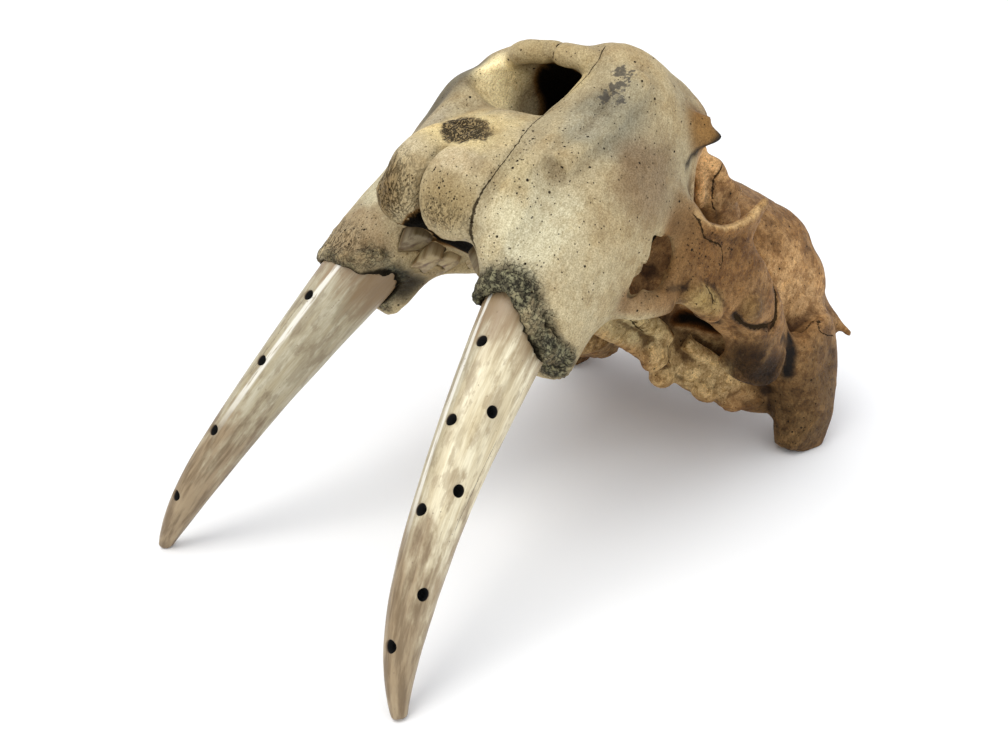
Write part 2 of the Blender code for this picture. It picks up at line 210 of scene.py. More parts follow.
def ball(bm, centre, radii, turn=(0, 0, 0)):
    matrix = (Matrix.Translation(Vector(centre) * MM)
              @ Euler([math.radians(angle) for angle in turn]).to_matrix().to_4x4()
              @ Matrix.Diagonal((*[radius * MM for radius in radii], 1.0)))
    bmesh.ops.create_uvsphere(bm, u_segments=20, v_segments=12, radius=1.0, matrix=matrix)


def both_sides(make, bm, stations, **options):
    for side in (1, -1):
        make(bm, [(row[0] * side, *row[1:]) for row in stations], **options)


def twin_balls(bm, centre, radii, turn=(0, 0, 0)):
    for side in (1, -1):
        ball(bm, (centre[0] * side, centre[1], centre[2]), radii,
             (turn[0], turn[1] * side, turn[2] * side))


X, Y, Z = (1, 0, 0), (0, 1, 0), (0, 0, 1)
print("masses: loft, limb and ball")

# %% [markdown]
# ## The front of the skull
# The face is the walrus's strangest part: two great bulges of maxilla hold the roots of the tusks,
# and the snout bone sits between them. Behind the nose the roof narrows between the orbits.

# %% Snout and maxillae
def face_masses(bm):
    both_sides(loft, bm, [
        (70, 42, -30, 28, 29), (68, 45, -8, 30, 33), (66, 48, 4, 32, 35), (62, 59, 22, 36, 42),
        (57, 74, 52, 41, 48), (52, 86, 82, 42, 51), (46, 97, 111, 40, 50), (41, 107, 139, 39, 48),
        (37, 109, 154, 36, 47), (31, 107, 166, 25, 35),
    ], across=X, along=Y, power=2.2)
    loft(bm, [
        (52, 36, 12, 12, 14), (49, 29, 26, 14, 19), (48, 27, 48, 15, 19), (46, 34, 70, 15, 21),
        (44, 50, 96, 14, 21), (40, 64, 118, 13, 19), (37, 78, 140, 11, 17),
    ], across=X, along=Y, power=2.2)
    loft(bm, [
        (-52, 46, 12, 12, 14), (-50, 41, 26, 14, 19), (-48, 40, 48, 14, 19), (-45, 43, 70, 14, 21),
        (-44, 52, 96, 14, 21), (-41, 62, 118, 14, 20), (-39, 74, 140, 13, 19),
    ], across=X, along=Y, power=2.2)
    loft(bm, [
        (0, 42, 30, 41, 31), (0, 41, 44, 45, 36), (0, 44, 60, 47, 38), (0, 52, 76, 46, 41),
        (0, 61, 91, 43, 42), (0, 72, 104, 41, 38), (0, 80, 112, 38, 34),
    ], X, Y, power=2.9)
    both_sides(limb, bm, [
        (16, 24, 86, 14, 10), (19, 15, 70, 18, 15), (21, 10, 54, 20, 18), (22, 13, 40, 19, 16),
        (24, 19, 32, 16, 11),
    ], flat=X)
    loft(bm, [
        (0, 58, 155, 33, 6), (0, 70, 149, 38, 13), (0, 84, 142, 42, 20), (0, 100, 134, 44, 28),
        (0, 122, 119, 43, 42), (0, 150, 111, 38, 48), (0, 180, 105, 38, 48), (0, 205, 97, 47, 51),
    ], X, Z)
    both_sides(limb, bm, [
        (60, 106, 126, 22, 20), (72, 114, 135, 14, 14), (81, 122, 139, 9, 9), (86, 127, 141, 5, 5),
    ], flat=X)


# %% [markdown]
# ## The back of the skull
# The braincase is broad and low. The cheek arches carry the blocks of the jaw joints, the mastoids
# hang down behind them, and a crest runs across the back of the head to a point on each side.

# %% Braincase, arches, mastoids
def rear_masses(bm):
    loft(bm, [
        (0, 198, 91, 42, 51), (0, 225, 87, 68, 58), (0, 255, 85, 84, 65), (0, 285, 83, 93, 65),
        (0, 310, 77, 95, 61), (0, 330, 72, 84, 50),
    ], X, Z, power=2.3)
    both_sides(limb, bm, [
        (48, 122, 130, 10, 14), (55, 142, 131, 8, 11), (58, 160, 128, 8, 11), (60, 182, 119, 10, 13),
        (62, 208, 104, 12, 14),
    ], flat=X)
    both_sides(limb, bm, [
        (78, 96, 96, 14, 9), (86, 112, 92, 9, 9), (93, 128, 86, 7, 9),
    ], flat=X)
    both_sides(limb, bm, [
        (84, 84, 24, 12, 8), (91, 104, 28, 9, 8), (95, 126, 40, 7, 10),
    ], flat=X)
    both_sides(limb, bm, [
        (90, 117, 62, 5, 24), (94, 132, 64, 7, 28), (98, 148, 67, 7, 28), (102, 166, 69, 7, 27),
        (105, 186, 64, 8, 24), (107, 208, 58, 8, 20), (104, 226, 52, 10, 18), (96, 244, 46, 14, 20),
        (82, 266, 44, 20, 24),
    ], flat=X)
    both_sides(limb, bm, [
        (100, 158, 86, 6, 14), (102, 168, 100, 5, 9), (102, 177, 117, 4, 4),
    ], flat=X)
    twin_balls(bm, (108, 196, 54), (8, 13, 12))     # the core of the boss
    both_sides(loft, bm, [
        (99, 212, 40, 8, 12), (98, 224, 34, 15, 20), (96, 240, 33, 17, 21), (92, 260, 36, 16, 20),
    ], across=X, along=Z)
    both_sides(limb, bm, [
        (84, 172, 46, 9, 8), (88, 190, 46, 12, 9), (92, 212, 42, 10, 10), (94, 232, 38, 10, 12),
    ], flat=X)
    both_sides(limb, bm, [
        (88, 292, 58, 26, 34), (100, 310, 36, 22, 32), (106, 319, 12, 19, 26), (110, 324, -20, 14, 21),
    ], flat=X, power=2.4)
    both_sides(limb, bm, [
        (0, 324, 122, 12, 9), (34, 323, 119, 11, 9), (64, 322, 104, 10, 8), (86, 324, 85, 9, 8),
        (101, 329, 75, 6, 5), (113, 333, 70, 3, 3),
    ], flat=Y)
    both_sides(limb, bm, [
        (26, 332, 50, 11, 12), (22, 342, 34, 12, 12), (15, 340, 16, 10, 10),
    ], flat=X)


# %% Palate, its ridges and wings, and the swellings over the ears
def base_masses(bm):
    loft(bm, [
        (0, 44, 38, 34, 12), (0, 80, 40, 40, 16), (0, 120, 42, 38, 18), (0, 160, 44, 30, 20),
        (0, 200, 42, 30, 24), (0, 240, 38, 46, 26), (0, 300, 34, 50, 24), (0, 326, 32, 40, 20),
    ], X, Z)
    both_sides(limb, bm, [
        (36, 42, 28, 11, 12), (36, 62, 22, 10, 13), (36, 84, 25, 10, 13), (35, 106, 30, 9, 12),
        (34, 128, 34, 8, 10),
    ], flat=X)
    both_sides(limb, bm, [
        (36, 118, 26, 7, 14), (34, 150, 22, 6, 18), (34, 190, 20, 6, 18), (36, 222, 12, 7, 16),
        (38, 248, -2, 10, 10),
    ], flat=X)
    both_sides(limb, bm, [
        (34, 246, 12, 12, 14), (50, 264, 8, 17, 16), (63, 290, 8, 20, 16), (80, 316, 8, 16, 14),
    ], flat=X)


# %% [markdown]
# ## Hollows
# The nose, the space of the brain, the canals under the orbits and the slanted mouths of the tusk
# sockets are masses too, taken away with a Boolean. They are melted together first, so their walls
# run into each other as softly as the bone does.

# %% Hollow masses
SOCKET_RIMS = (
    ((49, 18, 2), (85, 52, -13), (57, 54, -22)),
    ((-95, 31, -9), (-55, 14, -6), (-60, 60, -24)),
)
SOCKET_CUT = 42                   # half the width of the bone cut away below a rim


def hollow_masses(bm):
    loft(bm, [
        (-4, 4, 135, 42, 17, 18), (-8, 42, 135, 43, 17, 19), (-7, 58, 133, 40, 17, 21),
        (-4, 78, 131, 33, 18, 23), (0, 110, 122, 25, 18, 24), (0, 138, 106, 20, 18, 22),
        (0, 170, 80, 16, 14, 16), (0, 210, 58, 16, 14, 14), (0, 235, 34, 18, 12, 12),
        (0, 250, 6, 18, 12, 12),
    ], X, Z, power=2.4)
    loft(bm, [
        (0, 366, 22, 18, 20), (0, 336, 36, 18, 20), (0, 314, 52, 32, 26), (0, 284, 78, 60, 40),
        (0, 240, 84, 50, 40), (0, 222, 84, 20, 20),
    ], X, Z)
    both_sides(limb, bm, [
        (92, 92, 53, 7, 18), (84, 112, 60, 8, 16), (74, 140, 68, 10, 15), (70, 165, 72, 12, 16),
    ], flat=X)
    limb(bm, [(0, -14, 70, 2, 8), (0, -9, 54, 3, 13), (0, 0, 38, 4, 14), (0, 8, 24, 5, 12)], flat=X)
    ball(bm, (0, 12, 90), (13, 9, 8), (-35, 0, 0))
    ball(bm, (0, 30, 12), (25, 34, 22))
    # the broken edges of the sockets
    loft(bm, [(69, 8, -26, 19, 15), (69, 8, -9, 19, 15), (66, 8, 2, 15.5, 15), (65.5, 8, 11, 12, 15)],
         X, Y, power=4)
    loft(bm, [(43, 38, -36, 9, 18), (43, 38, -1, 8, 17)], X, Y, power=4)
    limb(bm, [(-52, 42, -31, 28, 13), (-28, 46, -2, 28, 13)], flat=Y, power=4)
    # a great cube below each rim takes away all bone under its plane
    for rim in SOCKET_RIMS:
        first, second, third = (Vector(point) for point in rim)
        down = (second - first).cross(third - first).normalized()
        if down.z > 0:
            down.negate()
        turn = Vector((0, 0, -1)).rotation_difference(down).to_matrix().to_4x4()
        centre = (first + second + third) / 3 + down * SOCKET_CUT
        size = Matrix.Scale(2 * SOCKET_CUT * MM, 4)
        bmesh.ops.create_cube(bm, size=1.0, matrix=Matrix.Translation(centre * MM) @ turn @ size)


# %% [markdown]
# ## Melting masses into bone
# The Remesh modifier in voxel mode gives one closed skin, and Smooth rounds the valleys between the
# masses. The first pass uses a coarse grid, so its smoothing reaches far, as between great rounded
# bones. The second pass uses a fine grid and little smoothing, so thin edges and small forms stay
# crisp. The Manifold solver cuts such dense closed meshes in a moment. A cut can leave a folded flap or
# a loose crumb, and both are deleted, so each mesh ends as one closed body.

# %% Fusing, cutting and applying
COARSE_GRID = 3.0
FINE_GRID = 1.45
SAME_PLACE = 1e-7                 # metres


def new_object(name, bm):
    bmesh.ops.recalc_face_normals(bm, faces=bm.faces)
    mesh = bpy.data.meshes.new(name)
    bm.to_mesh(mesh)
    bm.free()
    made = bpy.data.objects.new(name, mesh)
    bpy.context.scene.collection.objects.link(made)
    return made


def fuse(thing, grid, rounds):
    melt = thing.modifiers.new("melt", "REMESH")
    melt.mode = "VOXEL"
    melt.voxel_size = grid * MM
    if rounds:
        soften = thing.modifiers.new("soften", "SMOOTH")
        soften.factor = 0.5
        soften.iterations = rounds


def subtract(thing, tool):
    cut = thing.modifiers.new(tool.name, "BOOLEAN")
    cut.operation = "DIFFERENCE"
    cut.solver = "MANIFOLD"
    cut.object = tool
    tool.hide_render = True


def apply_all(thing):
    """Turn what the modifiers show into the object's own mesh."""
    graph = bpy.context.evaluated_depsgraph_get()
    mesh = bpy.data.meshes.new_from_object(thing.evaluated_get(graph), depsgraph=graph)
    thing.modifiers.clear()
    thing.data = mesh


def islands(bm):
    """The faces of a bmesh, in groups that hang together."""
    left = set(bm.faces)
    while left:
        found = {left.pop()}
        waiting = list(found)
        while waiting:
            near = {other for vert in waiting.pop().verts for other in vert.link_faces} - found
            found |= near
            waiting += near
        left -= found
        yield found


def cleaned(thing):
    """Delete the folded flaps and loose crumbs that cuts can leave."""
    bm = bmesh.new()
    bm.from_mesh(thing.data)
    bmesh.ops.remove_doubles(bm, verts=bm.verts, dist=SAME_PLACE)
    bmesh.ops.triangulate(bm, faces=bm.faces)
    corners = {}
    for face in bm.faces:
        corners.setdefault(frozenset(vert.index for vert in face.verts), []).append(face)
    flaps = [face for same in corners.values() if len(same) > 1 for face in same]
    bmesh.ops.delete(bm, geom=flaps, context="FACES")
    groups = sorted(islands(bm), key=len)
    crumbs = [face for group in groups[:-1] for face in group]
    bmesh.ops.delete(bm, geom=crumbs, context="FACES")
    bmesh.ops.delete(bm, geom=[vert for vert in bm.verts if not vert.link_faces], context="VERTS")
    bm.to_mesh(thing.data)
    bm.free()
    print(thing.name, "lost", len(flaps), "faces in flaps and", len(crumbs), "in crumbs")


def melted(name, makers, grid, rounds):
    """One object from the masses of several makers, fused on a grid."""
    bm = bmesh.new()
    for make in makers:
        make(bm)
    made = new_object(name, bm)
    fuse(made, grid, rounds)
    return made


skull = melted("skull_bone", (face_masses, rear_masses, base_masses), COARSE_GRID, 8)
hollows = melted("hollows", (hollow_masses,), COARSE_GRID, 4)
subtract(skull, hollows)
fuse(skull, COARSE_GRID, 3)
apply_all(skull)
bpy.data.objects.remove(hollows)
print("coarse skull:", len(skull.data.polygons), "faces")

# %% [markdown]
# ## Small forms
# These are what makes the bone recognisable close up: the rolled front edge of the nasals with its
# seam, the lobes of bone around the tusks, the thin top edge of the cheek arch with its spike, the
# ridges in the orbit, the boss, and the bones behind the palate. Each is a short limb or ball, and
# all of them are melted into the skull on the fine grid.

# %% Small forms on the face
BOSS = (110, 189, 55)


def small_forms(bm):
    for side in (1, -1):
        # the rolled front edge of the nasals
        limb(bm, [(37 * side, 66, 148, 5, 5), (27 * side, 61, 151.5, 7, 6.5), (14 * side, 61, 152.5, 8, 7),
                  (4 * side, 65, 153, 6, 6)], flat=Y)
        # the swelling of the snout bone on each side of the cleft
        limb(bm, [(15 * side, 16, 77, 12, 9), (15.5 * side, 9, 65, 15, 14), (15.5 * side, 6.5, 53, 15.5, 16),
                  (15.5 * side, 8.5, 42, 14, 14), (18 * side, 13, 34, 13, 9)], flat=X, power=2.8)
        # the root of the knob in front of the orbit, and the ridge above it
        limb(bm, [(76 * side, 116, 134, 10, 9), (84 * side, 123, 138, 6, 6), (87 * side, 125, 137, 4, 4)],
             flat=X)
        limb(bm, [(70 * side, 108, 145, 8, 7), (77 * side, 115, 145, 6, 6),
                  (83 * side, 120.5, 144.5, 5, 5)], flat=X)
    # the left maxilla meets the snout bone in one sweep, and their edge rims the nose
    limb(bm, [(41, 74, 156, 12, 8), (41, 68, 144, 14, 8), (41, 63, 132, 14, 9), (41, 57, 121, 15, 9),
              (41, 49, 110, 16, 9), (42, 41, 100, 15, 9), (43, 32, 88, 14, 9), (43, 24, 76, 13, 9),
              (43, 19, 66, 12, 9), (43, 16, 56, 12, 9), (43, 15, 44, 12, 9), (43, 18, 34, 10, 8)],
         flat=X, power=2.6)
    limb(bm, [(57, 74, 148, 12, 9), (58, 69.5, 138, 13, 9), (58, 66, 127, 13, 9), (59, 61.5, 117, 13, 9),
              (59, 57, 109, 13, 9), (58, 52, 101.5, 13, 9), (56, 42, 92, 13, 9), (55, 33, 82, 12, 9)],
         flat=X, power=2.6)
    # the snout bone's own surface, level with it
    limb(bm, [(24, 43, 103, 15, 9), (27, 30, 91, 13, 9), (29, 21, 81, 12, 9), (30, 13, 71, 11, 9),
              (31, 8.5, 60, 10, 9), (31, 7.5, 50, 9, 9), (31, 9.5, 40, 8, 8)], flat=X, power=2.6)
    limb(bm, [(9, 42, 102, 18, 9), (8, 29.5, 91, 19, 9), (8, 20, 81, 19, 9), (10, 12.5, 72, 16, 9)],
         flat=X, power=2.6)
    # lobes of bone that hug the tusks, where the sockets end
    limb(bm, [(50, 20, 6, 3, 3), (56, 15, 10, 4, 4), (66, 12, 14, 4, 4), (76, 14, 15, 5, 5),
              (82, 20, 6, 5, 5), (87, 28, -4, 6, 5), (90, 38, -11, 6, 6), (90, 48, -13, 5, 5)], flat=X)
    limb(bm, [(-95, 33, -7, 4, 4), (-86, 23, -5, 5, 5), (-73, 16, -3, 5, 5), (-60, 14, -2, 5, 5),
              (-48, 18, 1, 4, 4), (-40, 25, 8, 4, 4)], flat=X)
    # a spur beside the left row of teeth
    limb(bm, [(58, 116, 24, 6, 6), (63, 118, 10, 4, 4), (68, 119, -3, 3, 3), (69, 119, -8, 2, 2)], flat=X)


# %% Small forms on the back
def rear_forms(bm):
    # the thin top edge of the cheek arch, up to its spike
    both_sides(limb, bm, [
        (84, 116, 92, 4, 3), (97, 122, 87, 3, 3), (102, 138, 87, 3, 3), (104, 152, 93, 3, 3),
        (104, 165, 104, 3, 3.5), (103, 174, 115, 3, 4), (102, 178, 118, 2, 3),
    ], flat=X)
    # the edge of the brow, and the ridges in the orbit
    both_sides(limb, bm, [(63, 153, 131, 4, 4), (66, 165, 130, 5, 6), (67, 180, 125, 5, 6),
                          (68, 196, 121, 6, 7)], flat=X)
    both_sides(limb, bm, [(62, 150, 137, 4, 4), (63, 160, 122, 3, 3), (62, 172, 104, 3, 3)], flat=Y)
    both_sides(limb, bm, [(79, 118, 124, 4, 4), (80, 126, 108, 3, 3), (86, 124, 94, 3, 3)], flat=Y)
    # the boss on the cheek arch, and the pale knob below the arch
    twin_balls(bm, BOSS, (7.5, 9.5, 9.5))
    both_sides(limb, bm, [
        (96, 133, 50, 9, 8), (99, 145, 48, 9, 9), (101, 157, 45, 9, 8), (101, 168, 42, 7, 6),
    ], flat=X)
    # the rim of the jaw joint's block
    both_sides(limb, bm, [
        (84, 226, 22, 4, 4), (92, 224, 17, 5, 4), (102, 230, 14, 5, 4), (107, 244, 16, 5, 4),
        (108, 256, 26, 4, 4), (106, 258, 40, 4, 4),
    ], flat=X)
    # bones behind the palate, in pieces that overlap
    both_sides(limb, bm, [(37, 140, 25, 5, 6), (40, 170, 27, 5, 6), (42, 200, 26, 5, 7), (44, 220, 20, 5, 7)],
               flat=X)
    twin_balls(bm, (42, 214, 8), (7, 14, 12), (20, 0, 0))
    twin_balls(bm, (40, 234, -4), (8, 11, 8))
    both_sides(limb, bm, [(46, 238, 24, 5, 5), (58, 256, 18, 6, 6), (72, 276, 10, 6, 7), (84, 298, 4, 6, 7)],
               flat=X)
    twin_balls(bm, (60, 262, -3), (9, 13, 8))
    twin_balls(bm, (70, 284, -3), (9, 12, 8))
    # the thin edge of the crest across the back of the head
    both_sides(limb, bm, [
        (30, 328, 124, 4, 4), (62, 326, 109, 4, 4), (86, 328, 88, 4, 4), (102, 331, 76, 4, 3),
        (114, 334, 70, 2.5, 2),
    ], flat=Y)


# %% Small hollows
def small_hollows(bm):
    # the mouths of the canals under the orbits, and the creases behind the knobs
    both_sides(limb, bm, [(98, 84, 43, 4.5, 9), (92, 91.5, 43, 5, 9), (85, 100.5, 45, 6, 10),
                          (79, 112, 52, 7, 12)], flat=X)
    both_sides(limb, bm, [(97, 83, 37, 4, 7), (91, 91, 37.5, 4.5, 7), (84, 100, 40, 5, 8),
                          (78, 112, 48, 6, 9)], flat=X)
    both_sides(limb, bm, [(87, 116, 128, 2, 3), (88, 112, 120, 2, 3), (89, 108, 113, 2, 3)], flat=X)
    # the cleft between the two swellings of the snout, and the crease beside them
    limb(bm, [(0, -14, 72, 1.0, 5), (0, -9, 58, 1.6, 12), (0, -2, 44, 2.0, 15), (0, 8, 32, 2.6, 13)],
         flat=X)
    limb(bm, [(-44, -4, 74, 3, 4), (-45, 2, 58, 3.5, 5), (-45, 6, 42, 4, 6), (-42, 12, 28, 5, 6)], flat=X)
    # the slit behind the jaw joint
    both_sides(limb, bm, [(110, 266, 52, 2, 5), (112, 270, 44, 2, 5), (113, 275, 36, 2, 5)], flat=X)
    # the hollow between the jaw joint and the bones behind the palate
    both_sides(limb, bm, [(50, 222, 33, 9, 7), (60, 236, 34, 10, 8), (72, 248, 36, 9, 8)], flat=X)


def join(thing, bm):
    """Add the faces of a bmesh to a thing's mesh."""
    bmesh.ops.recalc_face_normals(bm, faces=bm.faces)
    bm.from_mesh(thing.data)
    bm.to_mesh(thing.data)
    bm.free()


extra = bmesh.new()
small_forms(extra)
rear_forms(extra)
join(skull, extra)
fuse(skull, FINE_GRID, 2)
hollows = melted("small_hollows", (small_hollows,), FINE_GRID, 1)
subtract(skull, hollows)
fuse(skull, FINE_GRID, 1)
apply_all(skull)
bpy.data.objects.remove(hollows)
print("fine skull:", len(skull.data.polygons), "faces")

# %% [markdown]
# ## A mesh as arrays
# The fine skull has more than two hundred thousand points, and a rule for each of them is only quick
# when it works on all at once. So a mesh's points are read into one array, changed there and written
# back.

# %% Reading and writing a mesh as arrays
def points_of(mesh):
    flat = np.empty(len(mesh.vertices) * 3)
    mesh.vertices.foreach_get("co", flat)
    return flat.reshape(-1, 3)


def normals_of(mesh):
    flat = np.empty(len(mesh.vertices) * 3)
    mesh.vertex_normals.foreach_get("vector", flat)
    return flat.reshape(-1, 3)


def set_points(mesh, points):
    mesh.vertices.foreach_set("co", np.ascontiguousarray(points, dtype=float).ravel())
    mesh.update()


def path_distance(points, path):
    """For each point: distance to a path, the nearest place on it, the path's direction there, and
    how far along the path that is, in segments."""
    path = np.asarray(path, dtype=float)
    best = np.full(len(points), np.inf)
    near = np.zeros_like(points)
    heading = np.zeros_like(points)
    along = np.zeros(len(points))
    for index, (first, second) in enumerate(zip(path, path[1:])):
        leg = second - first
        share = np.clip(((points - first) @ leg) / (leg @ leg), 0, 1)
        spot = first + share[:, None] * leg
        away = np.linalg.norm(points - spot, axis=1)
        closer = away < best
        best[closer] = away[closer]
        near[closer] = spot[closer]
        heading[closer] = leg / np.linalg.norm(leg)
        along[closer] = index + share[closer]
    return best, near, heading, along


# %% [markdown]
# ## Sculpting by numbers
# Each vertex is pushed along its normal by a few simple rules, written in the skull's own frame: slow
# unevenness everywhere, rough and curled bone around the mouths of the tusk sockets, cracks pressed
# in, and strands that fan out over the rough spot of the snout. At the end whole regions are drawn
# out or pressed in by a few millimetres, as one corrects a clay model against a photograph.

# %% Sculpting the bone
# paths on the skull: the rims of the sockets, seams and cracks
LEFT_RIM = ((47, 22, 3), (51, 19, 5), (56, 16, 9), (66, 13, 13), (76, 15, 14), (82, 21, 5), (87, 30, -5),
            (90, 40, -12), (90, 50, -14), (82, 60, -20))
RIGHT_RIM = ((-97, 37, -10), (-93, 30, -8), (-84, 21, -6), (-72, 15, -5), (-60, 13, -4), (-50, 17, -1),
             (-40, 25, 8), (-44, 42, 0), (-52, 52, -12), (-60, 58, -22))
FACE_SEAM = ((33, 70, 161), (35, 62.5, 150), (33.5, 57.5, 138), (32, 53, 127), (31.5, 45, 115),
             (32, 37, 104), (33, 31, 95), (37, 17, 78), (39, 9, 67), (40, 4, 55), (39, 4, 44), (38, 9, 32),
             (40, 14, 22))
NASAL_SEAM = ((0, 100, 165), (1, 84, 164), (3, 70, 162), (4, 61, 159), (4, 57, 154), (2, 60, 148))
CHEEK_CRACK = ((106, 197, 84), (109, 205, 78), (112, 211, 71), (114, 216, 62), (115, 220, 54),
               (114, 220, 47))
BOSS_FOLD = ((109, 179, 47), (110, 188, 42), (112, 200, 43), (114, 210, 47), (115, 218, 50))
# the rough spot above the cleft of the snout: its middle, its two directions, and half its size
ROSETTE = np.array((1, 17, 87))
SPOT_ACROSS = np.array((0.50, 0.63, 0.595))
SPOT_DOWN = np.array((0.69, -0.56, -0.455))
SPOT_OUT = np.cross(SPOT_ACROSS, SPOT_DOWN)
SPOT_HALF = (17, 28, 20)
FAN_ROOT = 24.0                   # the strands meet this far across from the middle


def mirrored(path):
    return [(-x, y, z) for x, y, z in path]


def around(points, centre, radii):
    """1 at the centre of an ellipsoid, 0 outside it."""
    return 1 - soft_step(0.3, 1.0, np.linalg.norm((points - centre) / radii, axis=1))


# where a region of the surface is drawn out or pressed in: centre, reach and move, in millimetres
MOVES = (
    ((-61, 56, 122), 27, (-3.2, -2.5, 1.8)),     # far maxilla, beside the nose
    ((-43, 72, 156), 40, (2.6, 2.0, -3.8)),      # far corner of the nasals
    ((-73, 24, 46), 27, (2.8, 2.2, -1.1)),       # far maxilla, lower down
    ((-46, 6, 62), 26, (2.6, 2.1, -1.0)),
    ((-29, -5, 52), 14, (2.0, 1.6, -0.6)),
    ((42, 78, 164), 32, (-0.6, -0.4, 3.6)),      # top of the near maxilla
    ((76, 108, 153), 28, (-1.6, -1.3, -3.8)),
    ((88, 125, 141), 12, (1.3, 1.1, -1.6)),      # tip of the knob
    ((-84, 44, 72), 36, (3.0, 2.5, -0.9)),
)
MOVES_BOTH_SIDES = (
    ((36, 244, 146), 56, (0, -0.2, -4.4)),       # roof behind the orbits
    ((70, 284, 128), 26, (0.9, 0.9, 2.8)),
    ((90, 306, 100), 26, (2.0, 1.7, 1.9)),
    ((120, 312, 40), 36, (-2.8, -2.3, -1.2)),    # side of the mastoid
    ((122, 318, -16), 20, (-3.4, -2.8, -1.6)),
)


def drawn_out(points):
    """The points after every move, each of which fades out towards its reach."""
    after = points.copy()
    moves = list(MOVES) + list(MOVES_BOTH_SIDES)
    moves += [((-x, y, z), reach, (-dx, dy, dz)) for (x, y, z), reach, (dx, dy, dz) in MOVES_BOTH_SIDES]
    for centre, reach, move in moves:
        share = 1 - (np.linalg.norm(points - centre, axis=1) / reach).clip(0, 1) ** 2
        after += (share ** 2)[:, None] * move
    return after


def fan(points):
    """The curled spot's own frame: across and down its face, and how far inside it a point lies."""
    flat = points - ROSETTE
    own = (flat @ SPOT_ACROSS, flat @ SPOT_DOWN, flat @ SPOT_OUT)
    reach = np.sqrt(sum((values / half) ** 2 for values, half in zip(own, SPOT_HALF)))
    return own[0], own[1], 1 - soft_step(0.45, 1.0, reach)


# rough bone: centre, radii and strength
ROUGH_BOTH_SIDES = (
    ((108, 312, 0), (30, 40, 40), 0.5),              # mastoids
    ((60, 280, 0), (40, 50, 20), 0.7),               # swellings over the ears
    (BOSS, (10, 14, 14), 0.7),
)
ROUGH = (
    ((-46, 46, -4), (18, 24, 22), 1.3),              # broken wall of the far socket
    ((0, 14, 30), (40, 20, 16), 0.6),                # lower end of the snout
    ((-22, 0, 46), (22, 18, 24), 1.1),               # far swelling of the snout
    ((-74, 20, 6), (30, 24, 20), 0.8),               # far maxilla beside the tusk
    ((0, 230, 4), (80, 110, 26), 0.6),               # underside behind the palate
)
# what is pressed in: path, depth and reach in millimetres
GROOVES = ((FACE_SEAM, 0.35, 1.5), (NASAL_SEAM, 1.3, 2.2),
           (CHEEK_CRACK, 3.0, 2.2), (mirrored(CHEEK_CRACK), 3.0, 2.2),
           (BOSS_FOLD, 2.2, 2.6), (mirrored(BOSS_FOLD), 2.2, 2.6))


def sculpt(points, normals):
    push = 0.45 * layered_noise(points, 26, 3) + 0.16 * layered_noise(points, 7, 9)
    for rim, strength in ((LEFT_RIM, 1.0), (RIGHT_RIM, 0.3)):
        away, *_ = path_distance(points, spline(rim, 3))
        curled = 0.3 + 2.3 * ridged_noise(points * (1, 1, 0.7), 5.0, 21)
        push += (1 - soft_step(3, 13, away)) * strength * curled
    rough = np.zeros(len(points))
    mirror_images = [((-x, y, z), radii, strength) for (x, y, z), radii, strength in ROUGH_BOTH_SIDES]
    for centre, radii, strength in (*ROUGH_BOTH_SIDES, *mirror_images, *ROUGH):
        rough = np.maximum(rough, strength * around(points, centre, radii))
    push += rough * (ridged_noise(points, 6.0, 41) + 0.5 * noise(points, 3.0, 43))
    # the whole back half is a little ridged
    push += 0.45 * soft_step(110, 150, points[:, 1]) * ridged_noise(points, 13.0, 45)
    for path, depth, reach in GROOVES:
        away, *_ = path_distance(points, spline(path, 4))
        push -= depth * np.exp(-(away / reach) ** 2)
    # curled strands that fan out over the rough spot of the snout
    u, v, inside = fan(points)
    strands = np.sin(20 * np.arctan2(v, FAN_ROOT - u) + 3.5 * noise(points, 6, 47))
    push += inside * (1.1 * strands + 0.2)
    return drawn_out(points) + normals * push[:, None]


mesh = skull.data
before = points_of(mesh) / MM
after = sculpt(before, normals_of(mesh))
set_points(mesh, after * MM)
print("pushed by up to", np.abs(after - before).max().round(1), "mm")

# %% [markdown]
# ## Tusks
# A tusk is an upper canine. It is oval across, bends slightly, and its tip is worn flat where the
# skull rests on it. Rings along a curve give full control of its taper. Someone drilled rows of
# round holes into both, so a Boolean takes the same holes out of the mesh.

# %% The curve of a tusk
TUSK_SOCKET = Vector((65.7, 38.4, -4.0))
TUSK_BEND = Vector((91.3, -14.9, -155.4))
TUSK_TIP = Vector((111.4, 0.3, -207.9))
TUSK_STATIONS = (0.0, 0.33, 0.67, 0.97, 1.0)
TUSK_HALF_DEPTHS = (24.2, 17.2, 12.2, 5.0, 3.8)
TUSK_WIDTH_TO_DEPTH = 0.84
TUSK_ROOT = 60.0
TUSK_SIDES = 64
TUSK_RINGS = 150
TUSK_WAVE = 0.35                  # millimetres of unevenness
SOCKET_GAP = 0.7                  # millimetres between a tusk and its socket
FRONT_HOLES = {1: (23, 67, 114, 180), -1: (34, 81, 131, 177)}
OUTER_HOLES = {1: (55, 99, 153), -1: (62, 108, 157)}
FRONT_HOLE_TURN = {1: math.radians(5), -1: math.radians(-2)}
OUTER_HOLE_TURN = math.radians(68)
HOLE_DIAMETER = 7.0
HOLE_DEPTH = 7.0
HOLE_SIDES = 32


def tusk_point(t):
    return TUSK_SOCKET * (1 - t) ** 2 + TUSK_BEND * 2 * t * (1 - t) + TUSK_TIP * t * t


def tusk_slope(t):
    return (TUSK_BEND - TUSK_SOCKET) * 2 * (1 - t) + (TUSK_TIP - TUSK_BEND) * 2 * t


def tusk_frame(t):
    down = tusk_slope(t).normalized()
    front = Vector((0, -1, 0))
    front = (front - down * front.dot(down)).normalized()
    return down, front, front.cross(down)


